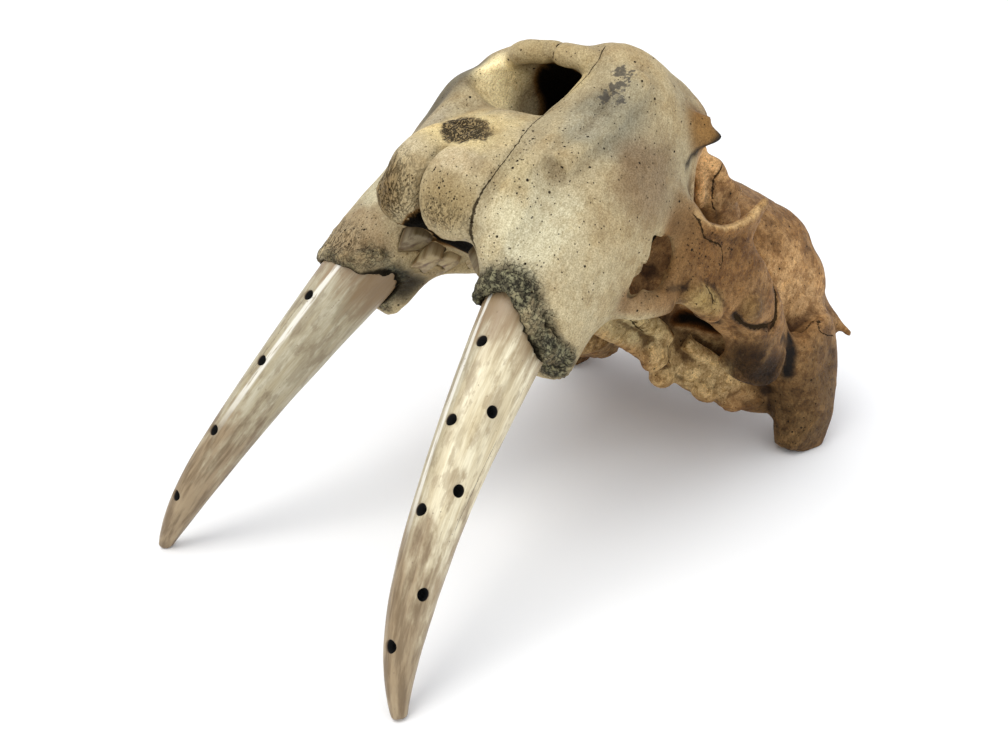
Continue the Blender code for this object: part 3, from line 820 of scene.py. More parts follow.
def tusk_half_depth(t):
    """A smooth taper through the stations."""
    table = spline(list(zip(TUSK_STATIONS, TUSK_HALF_DEPTHS)), 8)
    return float(np.interp(t, table[:, 0], table[:, 1]))


def tusk_at_distance(distance):
    walked, t, step = 0.0, 0.0, 0.002
    while walked < distance and t < 1:
        walked += (tusk_point(t + step) - tusk_point(t)).length
        t += step
    return t


# %% Building a tusk
def tusk_tube(side, extra, sides, rings, root, wave=0.0):
    """A tusk as a closed tube, grown all round by the extra. The wave makes its skin uneven."""
    bm = bmesh.new()
    made = []
    root_t = -root / tusk_slope(0).length
    for index in range(rings + 1):
        t = root_t + (1 - root_t) * index / rings
        _, front, outer = tusk_frame(max(t, 0))
        centre = tusk_point(t) if t > 0 else TUSK_SOCKET + tusk_slope(0) * t
        half = tusk_half_depth(max(t, 0)) + extra
        angles = np.linspace(0, 2 * math.pi, sides, endpoint=False)
        a, b = np.cos(angles), np.sin(angles)
        flutes = np.stack([a * 24, b * 24, np.full(sides, t * 40 + side * 90)], axis=1)
        uneven = wave * (layered_noise(flutes, 9, 31) + 0.5 * layered_noise(flutes, 3, 37))
        ring = []
        for cosine, sine, more in zip(a, b, uneven):
            point = (centre + front * (cosine * (half + more))
                     + outer * (sine * (half + more) * TUSK_WIDTH_TO_DEPTH))
            ring.append(Vector((point.x * side, point.y, point.z)))
        made.append(ring)
    skin_rings(bm, made)
    return bm


def drill_bits(side):
    bm = bmesh.new()
    places = [(distance, FRONT_HOLE_TURN[side]) for distance in FRONT_HOLES[side]]
    places += [(distance, OUTER_HOLE_TURN) for distance in OUTER_HOLES[side]]
    for distance, turn in places:
        t = tusk_at_distance(distance)
        _, front, outer = tusk_frame(t)
        half = tusk_half_depth(t)
        away = front * math.cos(turn) + outer * math.sin(turn)
        skin = front * (math.cos(turn) * half) + outer * (math.sin(turn) * half * TUSK_WIDTH_TO_DEPTH)
        depth = min(HOLE_DEPTH, half * TUSK_WIDTH_TO_DEPTH)
        centre = tusk_point(t) + skin + away * (HOLE_DEPTH - depth)
        centre.x *= side
        away.x *= side
        turned = away.to_track_quat("Z", "Y").to_matrix().to_4x4()
        radius = HOLE_DIAMETER / 2 * MM
        bmesh.ops.create_cone(bm, cap_ends=True, segments=HOLE_SIDES, radius1=radius * 0.96,
                              radius2=radius * 1.03, depth=2 * HOLE_DEPTH * MM,
                              matrix=Matrix.Translation(centre * MM) @ turned)
    return bm


def set_down(thing):
    """Move a finished mesh from the skull's frame to the floor, worn flat where it touches it."""
    points = at_rest(points_of(thing.data) / MM)
    points = np.clip(points, np.array(cad_box[0]), np.array(cad_box[1]))
    set_points(thing.data, points)


tusks = {}
sockets = []
for side, word in ((1, "left"), (-1, "right")):
    tube = tusk_tube(side, 0, TUSK_SIDES, TUSK_RINGS, TUSK_ROOT, wave=TUSK_WAVE)
    tusk = new_object(f"{word}_tusk_ivory", tube)
    bits = new_object(f"{word}_bits", drill_bits(side))
    subtract(tusk, bits)
    apply_all(tusk)
    cleaned(tusk)
    bpy.data.objects.remove(bits)
    tusks[word] = tusk
    sockets.append(new_object(f"{word}_socket", tusk_tube(side, SOCKET_GAP, 40, 12, TUSK_ROOT + 1)))
    print(tusk.name, len(tusk.data.polygons), "faces")

# %% [markdown]
# ## Small teeth
# Beside and behind each tusk stand an incisor and three cheek teeth. In a walrus they are soon worn
# down, so each is a short peg with squarish sides, swollen towards its end and cut off at a slant. One
# profile and one slant serve all of them, and only the ends and the half sizes differ.

# %% Pegs along a profile
# for each tooth: root end, worn end, half the width and half the length of its crown
SMALL_TEETH = {
    "incisor": ((31, 38, 40), (28, 35, 19), 7.0, 8.0),
    "cheek_tooth_1": ((31, 53, 37), (29, 51, 11), 6.6, 7.2),
    "cheek_tooth_2": ((31, 68, 37), (29, 66, 14), 6.4, 7.2),
    "cheek_tooth_3": ((31, 83, 40), (29, 81, 18), 6.2, 7.0),
}
TOOTH_WEAR = math.radians(44)
TOOTH_PROFILE = ((0.0, 0.7), (0.15, 0.86), (0.5, 0.97), (0.8, 1.0), (0.95, 0.99), (1.0, 0.94))
TOOTH_SQUARENESS = 3.6
TOOTH_WAVE = 0.45
TOOTH_GAP = 0.5


def tooth_peg(side, shape, extra, sides, steps, wave=0.0):
    root, worn, half_width, half_length = shape
    root, worn = Vector(root), Vector(worn)
    bm = bmesh.new()
    rings = []
    for share, swell in spline(TOOTH_PROFILE, steps):
        middle = root.lerp(worn, share)
        slant = math.tan(TOOTH_WEAR) * share
        ring = []
        for step in range(sides):
            angle = 2 * math.pi * step / sides
            more = extra + wave * math.sin(3 * angle + share * 4 + worn.y) * share
            a, b = rounded(angle, TOOTH_SQUARENESS)
            x = a * (half_width * swell + more)
            y = b * (half_length * swell + more)
            ring.append(Vector(((middle.x + x) * side, middle.y + y, middle.z - x * slant)))
        rings.append(ring)
    skin_rings(bm, rings)
    return bm


teeth = {}
for side, word in ((1, "left"), (-1, "right")):
    for name, shape in SMALL_TEETH.items():
        tooth = new_object(f"{word}_{name}_crown", tooth_peg(side, shape, 0.0, 32, 5, wave=TOOTH_WAVE))
        teeth[f"{word}_{name}"] = tooth
        sockets.append(new_object(f"{word}_{name}_socket", tooth_peg(side, shape, TOOTH_GAP, 20, 2)))
print(len(teeth), "small teeth")

# %% [markdown]
# ## Sockets
# Each tooth gets a socket of its own shape, grown all round by a small gap, so nothing overlaps and
# the narrow gap beside a tusk is real. The dense skin of the skull is thinned out first.

# %% Sockets cut into the bone
MOST_TRIANGLES = 190000


def thin_out(thing, most):
    thing.data.calc_loop_triangles()
    now = len(thing.data.loop_triangles)
    if now > most:
        fewer = thing.modifiers.new("fewer", "DECIMATE")
        fewer.ratio = most / now


thin_out(skull, MOST_TRIANGLES)
for socket in sockets:
    subtract(skull, socket)
apply_all(skull)
cleaned(skull)
for socket in sockets:
    bpy.data.objects.remove(socket)
skull.data.calc_loop_triangles()
print("skull:", len(skull.data.loop_triangles), "triangles")

# %% [markdown]
# ## Marks carried by the mesh
# Some things can't be told from a place in space alone, such as how far a spot is from a seam. They
# are measured for each vertex and stored in the mesh under a name, and the materials read them.

# %% Storing a value for every vertex
def store(mesh, name, values, kind="FLOAT"):
    layer = mesh.attributes.new(name, kind, "POINT")
    if kind == "FLOAT":
        layer.data.foreach_set("value", np.ascontiguousarray(values, dtype=np.float32))
    elif kind == "FLOAT_VECTOR":
        layer.data.foreach_set("vector", np.ascontiguousarray(values, dtype=np.float32).ravel())
    else:
        alpha = np.ones((len(values), 1))
        layer.data.foreach_set("color", np.hstack([values, alpha]).astype(np.float32).ravel())


def softened(mesh, points, rounds):
    """The points, averaged with their neighbours a number of times."""
    ends = np.empty(len(mesh.edges) * 2, dtype=np.int64)
    mesh.edges.foreach_get("vertices", ends)
    first, second = ends.reshape(-1, 2).T
    count = np.bincount(ends, minlength=len(points)).clip(1)[:, None]
    for _ in range(rounds):
        total = np.zeros_like(points)
        for axis in range(3):
            total[:, axis] = (np.bincount(first, points[second, axis], len(points))
                              + np.bincount(second, points[first, axis], len(points)))
        points = total / count
    return points


# %% [markdown]
# ## Seams and cracks
# Skull bones meet in seams that stay open in a young animal, and old dry bone cracks. Both are thin
# lines, so the mesh only says how far each point is from the nearest one and how wide that is there.
# The material draws the line, which stays sharp however large the faces are.

# %% Seams and cracks
# Each has a half width and a point at every bend; the numbers are millimetres.
SEAMS = [
    # between the snout bone and the left maxilla, from the roof of the nose down to the lip
    ((0.3, 0.3, 0.3, 0.28, 0.26, 0.25, 0.25, 0.28, 0.35, 0.5, 0.7, 0.9, 0.6), FACE_SEAM),
    # across the cheek arch, in zigzag
    ((0.3, 0.5, 0.5, 0.6, 0.4, 0.4, 0.3),
     ((95, 116, 90), (98, 124, 85.5), (100, 130, 80), (102, 138, 80), (103.5, 144, 80), (105, 148, 75),
      (105, 150, 68))),
    # the crack behind the boss, and the fold below the boss
    ((0.5, 1.0, 1.3, 1.4, 1.2, 0.6), CHEEK_CRACK),
    ((0.4, 0.9, 1.2, 1.0, 0.7), BOSS_FOLD),
    # the pale knob below the arch
    ((0.3, 0.4, 0.3), ((102, 141, 55), (104, 147, 50), (104, 151, 45))),
    # the roof of the nose, down the middle
    ((0.2, 0.3, 0.4, 0.5, 0.5, 0.4), NASAL_SEAM),
    # the wall of the orbit
    ((0.4, 0.7, 0.5), ((64, 166, 134), (66, 170, 120), (66, 182, 106))),
    ((0.3, 0.5, 0.3), ((70, 140, 124), (72, 143, 110), (76, 146, 98))),
    # behind the palate
    ((0.4, 0.8, 0.6, 0.6, 0.4),
     ((40, 138, 26), (42, 152, 22), (42, 166, 26), (42, 182, 21), (42, 194, 20))),
    ((0.4, 0.6, 0.4), ((48, 214, 18), (46, 224, 10), (46, 232, 6))),
    # from the crest of the back of the head down to the mastoid
    ((0.3, 0.4, 0.3), ((100, 262, 74), (106, 290, 60), (106, 312, 62))),
]
SEAMS += [(widths, mirrored(path)) for widths, path in SEAMS if path not in (FACE_SEAM, NASAL_SEAM)]
FAR_OFF = 9.0                     # the signed distance stored away from every seam


def seams_of(points, normals, seams):
    """Signed distance to the nearest seam, and the seam's half width there, which fades to nothing
    away from it."""
    nearest = np.full(len(points), np.inf)
    signed = np.full(len(points), FAR_OFF)
    width = np.zeros(len(points))
    for widths, path in seams:
        fine = spline([(*spot, half) for spot, half in zip(path, widths)], 6)
        away, near, heading, along = path_distance(points, fine[:, :3])
        sideways = np.cross(heading, normals)
        sideways /= np.linalg.norm(sideways, axis=1).clip(1e-6)[:, None]
        across = ((points - near) * sideways).sum(axis=1)
        half = np.interp(along, np.arange(len(fine)), fine[:, 3])
        ends = np.clip(np.minimum(along, len(fine) - 1 - along), 0, 1)
        half = half * soft_step(0, 1, ends) * (1 - soft_step(3, 6, np.abs(across))) * (away < 10)
        closer = np.abs(across) + 100 * (half <= 0) < nearest
        nearest[closer] = np.abs(across[closer])
        signed[closer] = across[closer]
        width[closer] = half[closer]
    return signed, width


mesh = skull.data
points = points_of(mesh) / MM
normals = normals_of(mesh)
signed, width = seams_of(points, normals, SEAMS)
store(mesh, "seam", signed)
store(mesh, "seam_width", width)
# how deep each point lies in a hollow, for the dirt and painted shade there
hollow = ((softened(mesh, points, 12) - points) * normals).sum(axis=1)
store(mesh, "hollow", hollow)
store(mesh, "spot", points, "FLOAT_VECTOR")
print("hollow spots from", hollow.min().round(2), "to", hollow.max().round(2), "mm")

# %% [markdown]
# ## Colour zones
# The skull is pale cream in front, where the tusks' roots fill it, grey and brown towards its upper
# edge, and warm brown behind. Each zone is a soft ball with a colour, laid over the two colours of
# front and back; a few zones and strokes hold painted shade, and one zone painted light. Painted shade
# is measured too, deep in the cavities such as the inside of the nose, and in the gap beside each tusk.

# %% Painting the bone
BONE_FRONT = (0.45, 0.375, 0.235)
BONE_REAR = (0.33, 0.19, 0.08)
ZONES = (
    # on both sides: centre, radii, colour, strength
    ((66, 22, 42), (28, 28, 42), (0.62, 0.57, 0.40), 1.0),       # over the root of the tusk
    ((94, 44, 24), (20, 36, 30), (0.50, 0.43, 0.28), 0.9),       # beside it
    ((62, 56, 116), (24, 28, 31), (0.29, 0.262, 0.185), 1.0),    # grey patch above
    ((88, 74, 98), (18, 28, 34), (0.26, 0.19, 0.115), 0.95),     # brown edge before the orbit
    ((45, 80, 160), (30, 30, 12), (0.46, 0.37, 0.22), 0.8),      # upper edge
    ((0, 28, 84), (42, 38, 22), (0.78, 0.63, 0.33), 1.0),        # snout above its swellings
    ((22, -4, 46), (20, 14, 18), (0.31, 0.235, 0.12), 0.95),     # the swellings of the snout
    ((20, 0, 66), (18, 12, 10), (0.60, 0.52, 0.36), 0.9),        # their upper edges
    ((0, 60, 152), (40, 16, 10), (0.41, 0.32, 0.175), 0.9),      # roll of the nasals
    ((31, 62, 130), (10, 14, 24), (0.60, 0.48, 0.26), 0.9),      # rim of the nose
    ((82, 116, 140), (18, 18, 18), (0.27, 0.15, 0.05), 1.0),     # knob in front of the orbit
    ((102, 146, 78), (28, 52, 32), (0.23, 0.118, 0.04), 1.0),    # cheek arch
    ((66, 150, 118), (22, 34, 26), (0.82, 0.51, 0.24), 0.95),    # wall of the orbit
    ((90, 276, 86), (34, 46, 30), (0.57, 0.355, 0.17), 0.95),    # side of the braincase
    ((103, 236, 24), (28, 34, 24), (0.042, 0.020, 0.005), 1.0),  # block of the jaw joint
    ((112, 305, 8), (34, 44, 66), (0.155, 0.09, 0.036), 1.0),    # mastoid
    ((40, 170, 22), (24, 66, 18), (0.56, 0.46, 0.25), 1.0),      # wings behind the palate
    ((54, 240, 10), (44, 50, 26), (0.66, 0.49, 0.25), 0.9),      # swellings over the ears
    ((101, 148, 47), (14, 22, 9), (0.34, 0.245, 0.10), 1.0),     # pale knob below the arch
    ((98, 118, 58), (12, 18, 40), (0.22, 0.12, 0.045), 0.95),    # behind the canal's mouth
    ((80, 105, 48), (14, 17, 22), (0.62, 0.50, 0.31), 1.0),      # inside the canal under the orbit
    ((113, 189, 54), (8, 12, 12), (0.20, 0.12, 0.045), 0.9),     # boss
    ((0, 60, 10), (44, 60, 22), (0.34, 0.27, 0.14), 0.8),        # palate
)
SIDE_ZONES = (
    # on one side only, laid over the others
    # the far swelling is darker with dirt, and with painted shade as well
    ((-22, 0, 46), (21, 18, 22), (0.24, 0.175, 0.085), 0.95),    # far swelling of the snout
    ((-62, 18, 14), (36, 26, 24), (0.33, 0.24, 0.135), 0.85),    # far maxilla beside the tusk
    ((-46, 46, -4), (16, 26, 20), (0.035, 0.027, 0.014), 1.0),   # broken wall of the far socket
    # painted shade: the far maxilla beside the nose is painted dark grey
    ((-62, 56, 122), (22, 34, 36), (0.16, 0.14, 0.095), 0.9),    # far maxilla beside the nose
    ((-44, 40, 88), (16, 20, 18), (0.42, 0.37, 0.28), 0.8),      # below it
    ((56, 47, 106), (12, 14, 14), (0.42, 0.38, 0.275), 0.8),     # pale patch of the near maxilla
    ((48, 14, 70), (12, 15, 17), (0.46, 0.385, 0.23), 0.85),     # beside the seam
    # painted light: the far wall of the nose is paler than bone can be, standing in for the light on it
    ((-38, 66, 130), (17, 20, 22), (1.0, 0.86, 0.52), 1.0),      # far wall of the nose
    ((69, 119, -8), (6, 6, 8), (0.06, 0.04, 0.02), 1.0),         # end of the spur
    ((47, 21, 3), (10, 12, 12), (0.06, 0.046, 0.026), 1.0),      # lower corner of the near maxilla
)
STROKES = (
    # thin marks on both sides: a path, half its width, colour, strength
    # the edge of the cheek arch, and the ridges in the orbit with the lines between them
    (((90, 118, 94), (97, 123, 90), (102, 138, 91), (104, 152, 97), (104, 164, 107), (103, 173, 116),
      (102, 178, 120)), 3.2, (0.58, 0.40, 0.20), 0.85),
    (((62, 156, 138), (63, 164, 124), (62, 174, 108)), 3.0, (0.85, 0.60, 0.33), 0.8),
    (((72, 146, 118), (74, 154, 106), (76, 160, 99)), 2.6, (0.80, 0.56, 0.30), 0.8),
    (((65.6, 160, 127), (67, 171, 119.5), (67, 180, 111), (66, 190, 102)), 1.3, (0.13, 0.075, 0.035), 0.7),
    (((61, 166, 132), (62, 176, 118)), 1.6, (0.10, 0.055, 0.02), 0.8),
    # painted shade in the crease behind the knob, and the knob's tip
    (((88, 126, 136), (86, 123, 131), (83, 117.5, 125), (83, 113, 119.5), (84, 110, 114)), 2.4,
     (0.02, 0.013, 0.007), 0.95),
    (((91, 128, 141), (89, 127, 135)), 6.5, (0.012, 0.009, 0.005), 1.0),
    # painted shadow under the boss, along the fold below it
    (((109, 179, 46), (109, 189, 43), (111.5, 201, 44), (114, 210, 47), (114, 219, 51)), 3.0,
     (0.03, 0.017, 0.008), 0.9),
    # painted shade in the slit behind the jaw joint; a dark mark above the joint, and its pale edge
    (((103, 266, 50), (106, 272, 40), (105, 279, 27)), 4.5, (0.008, 0.005, 0.003), 1.0),
    (((110, 243, 46), (107, 256, 47), (105, 268, 45)), 3.0, (0.035, 0.02, 0.009), 0.8),
    (((112, 232, 44), (113, 227, 28)), 2.2, (0.26, 0.16, 0.07), 0.7),
    # the shaded hollow below the arch, and the bar below the canal
    (((92, 183, 39), (88, 170, 40), (86, 158, 40)), 6.0, (0.012, 0.008, 0.005), 0.95),
    (((96, 84, 28), (97, 100, 33), (98, 116, 41)), 8.0, (0.26, 0.155, 0.07), 0.8),
    # dark lines between the bones behind the palate, at the arch's root and on the mastoid
    (((55, 232, 27), (62, 246, 22), (72, 262, 15)), 2.2, (0.05, 0.032, 0.016), 0.8),
    (((36, 214, 3), (40, 232, 1), (48, 246, 0)), 2.0, (0.04, 0.026, 0.013), 0.8),
    (((98, 117, 44), (98, 124, 47), (99, 132, 49)), 2.0, (0.07, 0.04, 0.018), 0.8),
    (((87, 292, 11), (96, 290, 18), (104, 290, 30)), 3.0, (0.03, 0.018, 0.009), 0.7),
)
# dark round stains at the top of the near maxilla: centre and radius
BLOTCHES = (((52, 64, 148), 7), ((59, 67, 147), 7), ((55, 61, 138), 7),
            ((60, 64, 140), 7), ((54, 57, 130), 7), ((63, 61, 130), 7))
SHADED_CAVITY_PATHS = (
    # paths through the cavities, where shade is painted, with the distance over which it darkens
    (((0, 93, 136), (0, 110, 122), (0, 140, 104), (0, 170, 80), (0, 235, 34)), (31, 25)),
    (((0, 330, 40), (0, 300, 62), (0, 240, 84)), (60, 40)),
    (((76, 128, 66), (72, 160, 72)), (18, 8)),
    (((-76, 128, 66), (-72, 160, 72)), (18, 8)),
    (((0, 20, 22), (0, 34, 20)), (36, 22)),
    (((50, 222, 34), (62, 238, 35), (74, 250, 36)), (13, 8)),
    (((-50, 222, 34), (-62, 238, 35), (-74, 250, 36)), (13, 8)),
    (((112, 266, 54), (113, 270, 46), (114, 275, 38)), (5, 2)),
)


def painted(points):
    wave = noise(points, 30, 51)
    back = soft_step(112, 150, points[:, 1] + 9 * wave)[:, None]
    colour = np.array(BONE_FRONT) * (1 - back) + np.array(BONE_REAR) * back
    folded = points.copy()
    folded[:, 0] = np.abs(points[:, 0])
    for places, zones in ((folded, ZONES), (points, SIDE_ZONES)):
        for centre, radii, tint, strength in zones:
            away = np.linalg.norm((places - centre) / radii, axis=1) + 0.22 * noise(points, 13, 61)
            share = (strength * (1 - soft_step(0.45, 1.2, away)))[:, None]
            colour = colour * (1 - share) + np.array(tint) * share
    for path, half, tint, strength in STROKES:
        away = path_distance(folded, spline(path, 4))[0] + 0.8 * noise(points, 5, 67)
        share = (strength * (1 - soft_step(0.5 * half, 1.5 * half, away)))[:, None]
        colour = colour * (1 - share) + np.array(tint) * share
    return colour


def tusk_gap_shadow(points):
    """Painted shadow in the gap at a tusk: 1 where the bone touches a tusk, 0 from three millimetres off."""
    stops = np.linspace(0, 0.5, 12)                  # the upper half of a tusk
    halves = np.array([tusk_half_depth(stop) for stop in stops])
    gap = np.full(len(points), np.inf)
    for side in (1, -1):
        curve = np.array([tusk_point(stop) for stop in stops]) * (side, 1, 1)
        away, *_, along = path_distance(points, curve)
        gap = np.minimum(gap, away - 0.93 * np.interp(along, np.arange(len(stops)), halves))
    return 1 - soft_step(0.8, 3.4, gap + 0.9 * noise(points, 5, 79))


# where bone is furrowed and where it has many pores: centre, radii and share
FURROWED = (((-20, 0, 46), (22, 18, 24), 1.0), ((20, 2, 38), (22, 16, 10), 0.5),
            ((-74, 20, 4), (30, 22, 20), 0.7), ((110, 318, -10), (30, 34, 30), 0.3),
            ((104, 238, 20), (20, 26, 18), 0.6), ((50, 24, 8), (12, 12, 12), 0.9))
PORED = (((24, -2, 44), (20, 18, 20), 0.95), ((54, 18, 84), (26, 34, 44), 0.5),
         ((56, 16, 30), (16, 20, 20), 0.45), ((-20, 2, 46), (22, 18, 18), 0.5),
         ((-70, 20, 18), (26, 20, 18), 0.6), ((100, 136, 76), (12, 24, 18), 0.9),
         ((110, 300, -5), (30, 40, 30), 0.4))
PORES_ELSEWHERE = 0.10


def share_of(points, places, growth, base=0.0):
    """The greatest share that any of the places gives, and the base outside all of them."""
    share = np.full(len(points), base)
    for centre, radii, amount in places:
        share = np.maximum(share, amount * around(points, centre, np.array(radii) * growth))
    return share


def blotched(points):
    """1 in the middle of a blotch, 0 from its edge on."""
    return np.max([1 - np.linalg.norm(points - centre, axis=1) / radius for centre, radius in BLOTCHES],
                  axis=0).clip(0)


def cavity_shade(points, normals):
    """Painted shade: dark where a surface lies near a cavity's middle line and faces it."""
    dark = np.zeros(len(points))
    for path, (most, least) in SHADED_CAVITY_PATHS:
        away, near, *_ = path_distance(points, spline(path, 4))
        facing = ((near - points) * normals).sum(axis=1) / away.clip(1e-6)
        dark = np.maximum(dark, (1 - soft_step(least, most, away)) * soft_step(0.0, 0.4, facing))
    return dark


def rim_share(points):
    """1 at the mouths of the tusk sockets, where the bone is curled, dark and greenish."""
    wave = 3.5 * noise(points, 8, 71)
    left = 1 - soft_step(5, 14, path_distance(points, spline(LEFT_RIM, 3))[0] + wave)
    right = 1 - soft_step(1, 9, path_distance(points, spline(RIGHT_RIM, 3))[0] + wave)
    return np.maximum(left, 0.75 * right)


store(mesh, "paint", painted(points), "FLOAT_COLOR")
# painted shade deep in the cavities
store(mesh, "dark", np.clip(cavity_shade(points, normals), 0, 1))
store(mesh, "rim", rim_share(points))
store(mesh, "age", soft_step(108, 140, points[:, 1] + 10 * noise(points, 24, 73)))
# painted shadow in the gap beside the tusks
store(mesh, "beside", tusk_gap_shadow(points))
store(mesh, "furrow", share_of(points, FURROWED, 1.2))
store(mesh, "pore_share", share_of(points, PORED, 1.35, PORES_ELSEWHERE))
store(mesh, "rosette", np.stack(fan(points), axis=1), "FLOAT_VECTOR")
store(mesh, "blotch", blotched(points))
print("painted", len(points), "points in", len(ZONES) + len(SIDE_ZONES), "zones")

# %% [markdown]
# ## Marks on the ivory
# A tusk's grain runs along it. Each of its points gets its place across and along the tusk, and from
# that the material draws grain, stains and the pale streak, which is partly polish and partly a painted
# highlight. The drilled holes are the points that lie deeper than the skin; the material paints shade
# into them. The far tusk is darker all over, and the near one on its inner side.

# %% Measuring the tusks and the small teeth
FAR_TUSK_TONE = 0.64
TUSK_CRACKS = {"left": [((0.15, 0.25, 0.25, 0.2, 0.15),
                         ((93, 22, -64), (94, 17, -78), (97, 12, -95), (99, 8, -106), (100, 6, -114)))],
               "right": [((0.15, 0.2, 0.15), ((-70, 6, -30), (-76, -1, -60), (-82, -6, -90)))]}
for word, side in (("left", 1), ("right", -1)):
    mesh = tusks[word].data
    points = points_of(mesh) / MM
    root = TUSK_SOCKET - tusk_slope(0).normalized() * (TUSK_ROOT + 4)
    stops = np.linspace(0, 1, 60)
    curve = np.array([root] + [tusk_point(t) for t in stops]) * (side, 1, 1)
    walked = np.cumsum(np.linalg.norm(np.diff(curve, axis=0), axis=1))
    lengths = np.concatenate([[0], walked]) - TUSK_ROOT - 4
    _, near, heading, along = path_distance(points, curve)
    distance = np.interp(along, np.arange(len(curve)), lengths)
    offset = points - near
    front = np.array((0, -1, 0)) - heading * -heading[:, 1:2]
    front /= np.linalg.norm(front, axis=1)[:, None]
    outer = np.cross(front, heading) * side
    grain = np.stack([(offset * front).sum(axis=1), (offset * outer).sum(axis=1), distance], axis=1)
    table = spline(list(zip(TUSK_STATIONS, TUSK_HALF_DEPTHS)), 8)
    half = np.interp(np.interp(along - 1, np.arange(len(stops)), stops), table[:, 0], table[:, 1])
    ratio = np.hypot(grain[:, 0] / half, grain[:, 1] / (half * TUSK_WIDTH_TO_DEPTH))
    bored = half * (1 - ratio) * (distance < lengths[-1] - 14) * (distance > 5)
    store(mesh, "grain", grain, "FLOAT_VECTOR")
    store(mesh, "bored", bored)
    near_tone = 0.66 + 0.37 * soft_step(-3, 8, grain[:, 1])
    store(mesh, "tone", near_tone if word == "left" else np.full(len(points), FAR_TUSK_TONE))
    signed, width = seams_of(points, normals_of(mesh), TUSK_CRACKS[word])
    store(mesh, "seam", signed)
    store(mesh, "seam_width", width)
    print(word, "tusk is", lengths[-1].round(0), "mm from socket to tip")
for node, tooth in teeth.items():
    mesh = tooth.data
    points = points_of(mesh) / MM
    side = 1 if node.startswith("left") else -1
    first, last = (np.array(end) * (side, 1, 1) for end in SMALL_TEETH[node.split("_", 1)[1]][:2])
    store(mesh, "tone", np.full(len(points), 0.55 if "incisor" in node else 1.0))
    _, near, _, along = path_distance(points, np.array([first, last + (last - first) * 0.3]))
    grain = np.stack([points[:, 0] - near[:, 0], points[:, 1] - near[:, 1], along * 1.3], axis=1)
    store(mesh, "grain", grain, "FLOAT_VECTOR")

# %% [markdown]
# ## Shader effects
# Effects that more than one material needs are node groups: pores, stains, seams and a fine grain.
# They give masks only, and each material decides what a mask does to its colour and its relief.

# %% Small helpers for node trees
def feed(tree, value, socket):
    """A number or colour is set on the socket itself; the output of a node is linked to it."""
    if isinstance(value, bpy.types.NodeSocket):
        tree.links.new(value, socket)
    else:
        socket.default_value = value


def calc(tree, operation, *values, clamp=False):
    node = tree.nodes.new("ShaderNodeMath")
    node.operation = operation
    node.use_clamp = clamp
    for value, socket in zip(values, node.inputs):
        feed(tree, value, socket)
    return node.outputs[0]


def times(tree, *values):
    """The product of all the values."""
    product = values[0]
    for value in values[1:]:
        product = calc(tree, "MULTIPLY", product, value)
    return product


def swayed(tree, base, noisy, amount):
    """The base, moved up and down by the noise."""
    return calc(tree, "MULTIPLY_ADD", calc(tree, "SUBTRACT", noisy, 0.5), amount, base)


def shift(tree, operation, *values):
    """Vector arithmetic."""
    node = tree.nodes.new("ShaderNodeVectorMath")
    node.operation = operation
    sockets = [node.inputs[0], node.inputs[3]] if operation == "SCALE" else node.inputs
    for value, socket in zip(values, sockets):
        feed(tree, value, socket)
    return node.outputs[0]


def cloud(tree, place, scale, detail=3.0, roughness=0.55):
    """Noise between 0 and 1, mostly near a half."""
    node = tree.nodes.new("ShaderNodeTexNoise")
    feed(tree, place, node.inputs["Vector"])
    feed(tree, scale, node.inputs["Scale"])
    feed(tree, detail, node.inputs["Detail"])
    feed(tree, roughness, node.inputs["Roughness"])
    return node.outputs["Fac"]


def ramp(tree, value, low, high, to_low=0.0, to_high=1.0):
    """A soft step from one value to another."""
    node = tree.nodes.new("ShaderNodeMapRange")
    node.interpolation_type = "SMOOTHSTEP"
    for given, name in ((value, "Value"), (low, "From Min"), (high, "From Max"), (to_low, "To Min"),
                        (to_high, "To Max")):
        feed(tree, given, node.inputs[name])
    return node.outputs["Result"]


def mix(tree, share, first, second, kind="MIX"):
    node = tree.nodes.new("ShaderNodeMix")
    node.data_type = "RGBA"
    node.blend_type = kind
    for given, index in ((share, 0), (first, 6), (second, 7)):
        if isinstance(given, tuple):
            given = (*given, 1.0)
        feed(tree, given, node.inputs[index])
    return node.outputs[2]


def laid(tree, colour, mask, strength, tint, kind="MIX"):
    """The colour with a tint over it, where the mask says."""
    return mix(tree, times(tree, mask, strength), colour, tint, kind)


def grained(tree, colour, amount, value, dark, pale):
    """The colour, darker where the value is low and paler where it is high."""
    return mix(tree, amount, colour, mix(tree, value, dark, pale), "MULTIPLY")


def mark(tree, name, output="Fac"):
    """A mark that the mesh carries."""
    node = tree.nodes.new("ShaderNodeAttribute")
    node.attribute_name = name
    return node.outputs[output]


def parts_of(tree, vector):
    node = tree.nodes.new("ShaderNodeSeparateXYZ")
    tree.links.new(vector, node.inputs[0])
    return node.outputs


def new_group(name, inputs, outputs):
    """A node group with named sockets; inputs are (name, kind, default)."""
    tree = bpy.data.node_groups.new(name, "ShaderNodeTree")
    for title, kind, value in inputs:
        made = tree.interface.new_socket(title, in_out="INPUT", socket_type=kind)
        if value is not None:
            made.default_value = value
    for title in outputs:
        tree.interface.new_socket(title, in_out="OUTPUT", socket_type="NodeSocketFloat")
    return tree, tree.nodes.new("NodeGroupInput").outputs, tree.nodes.new("NodeGroupOutput").inputs


def use(tree, group, output=0, **values):
    node = tree.nodes.new("ShaderNodeGroup")
    node.node_tree = group
    for name, value in values.items():
        feed(tree, value, node.inputs[name.replace("_", " ")])
    return node.outputs[output]


# %% Pores, stains, seams and grain
VECTOR, FLOAT = "NodeSocketVector", "NodeSocketFloat"


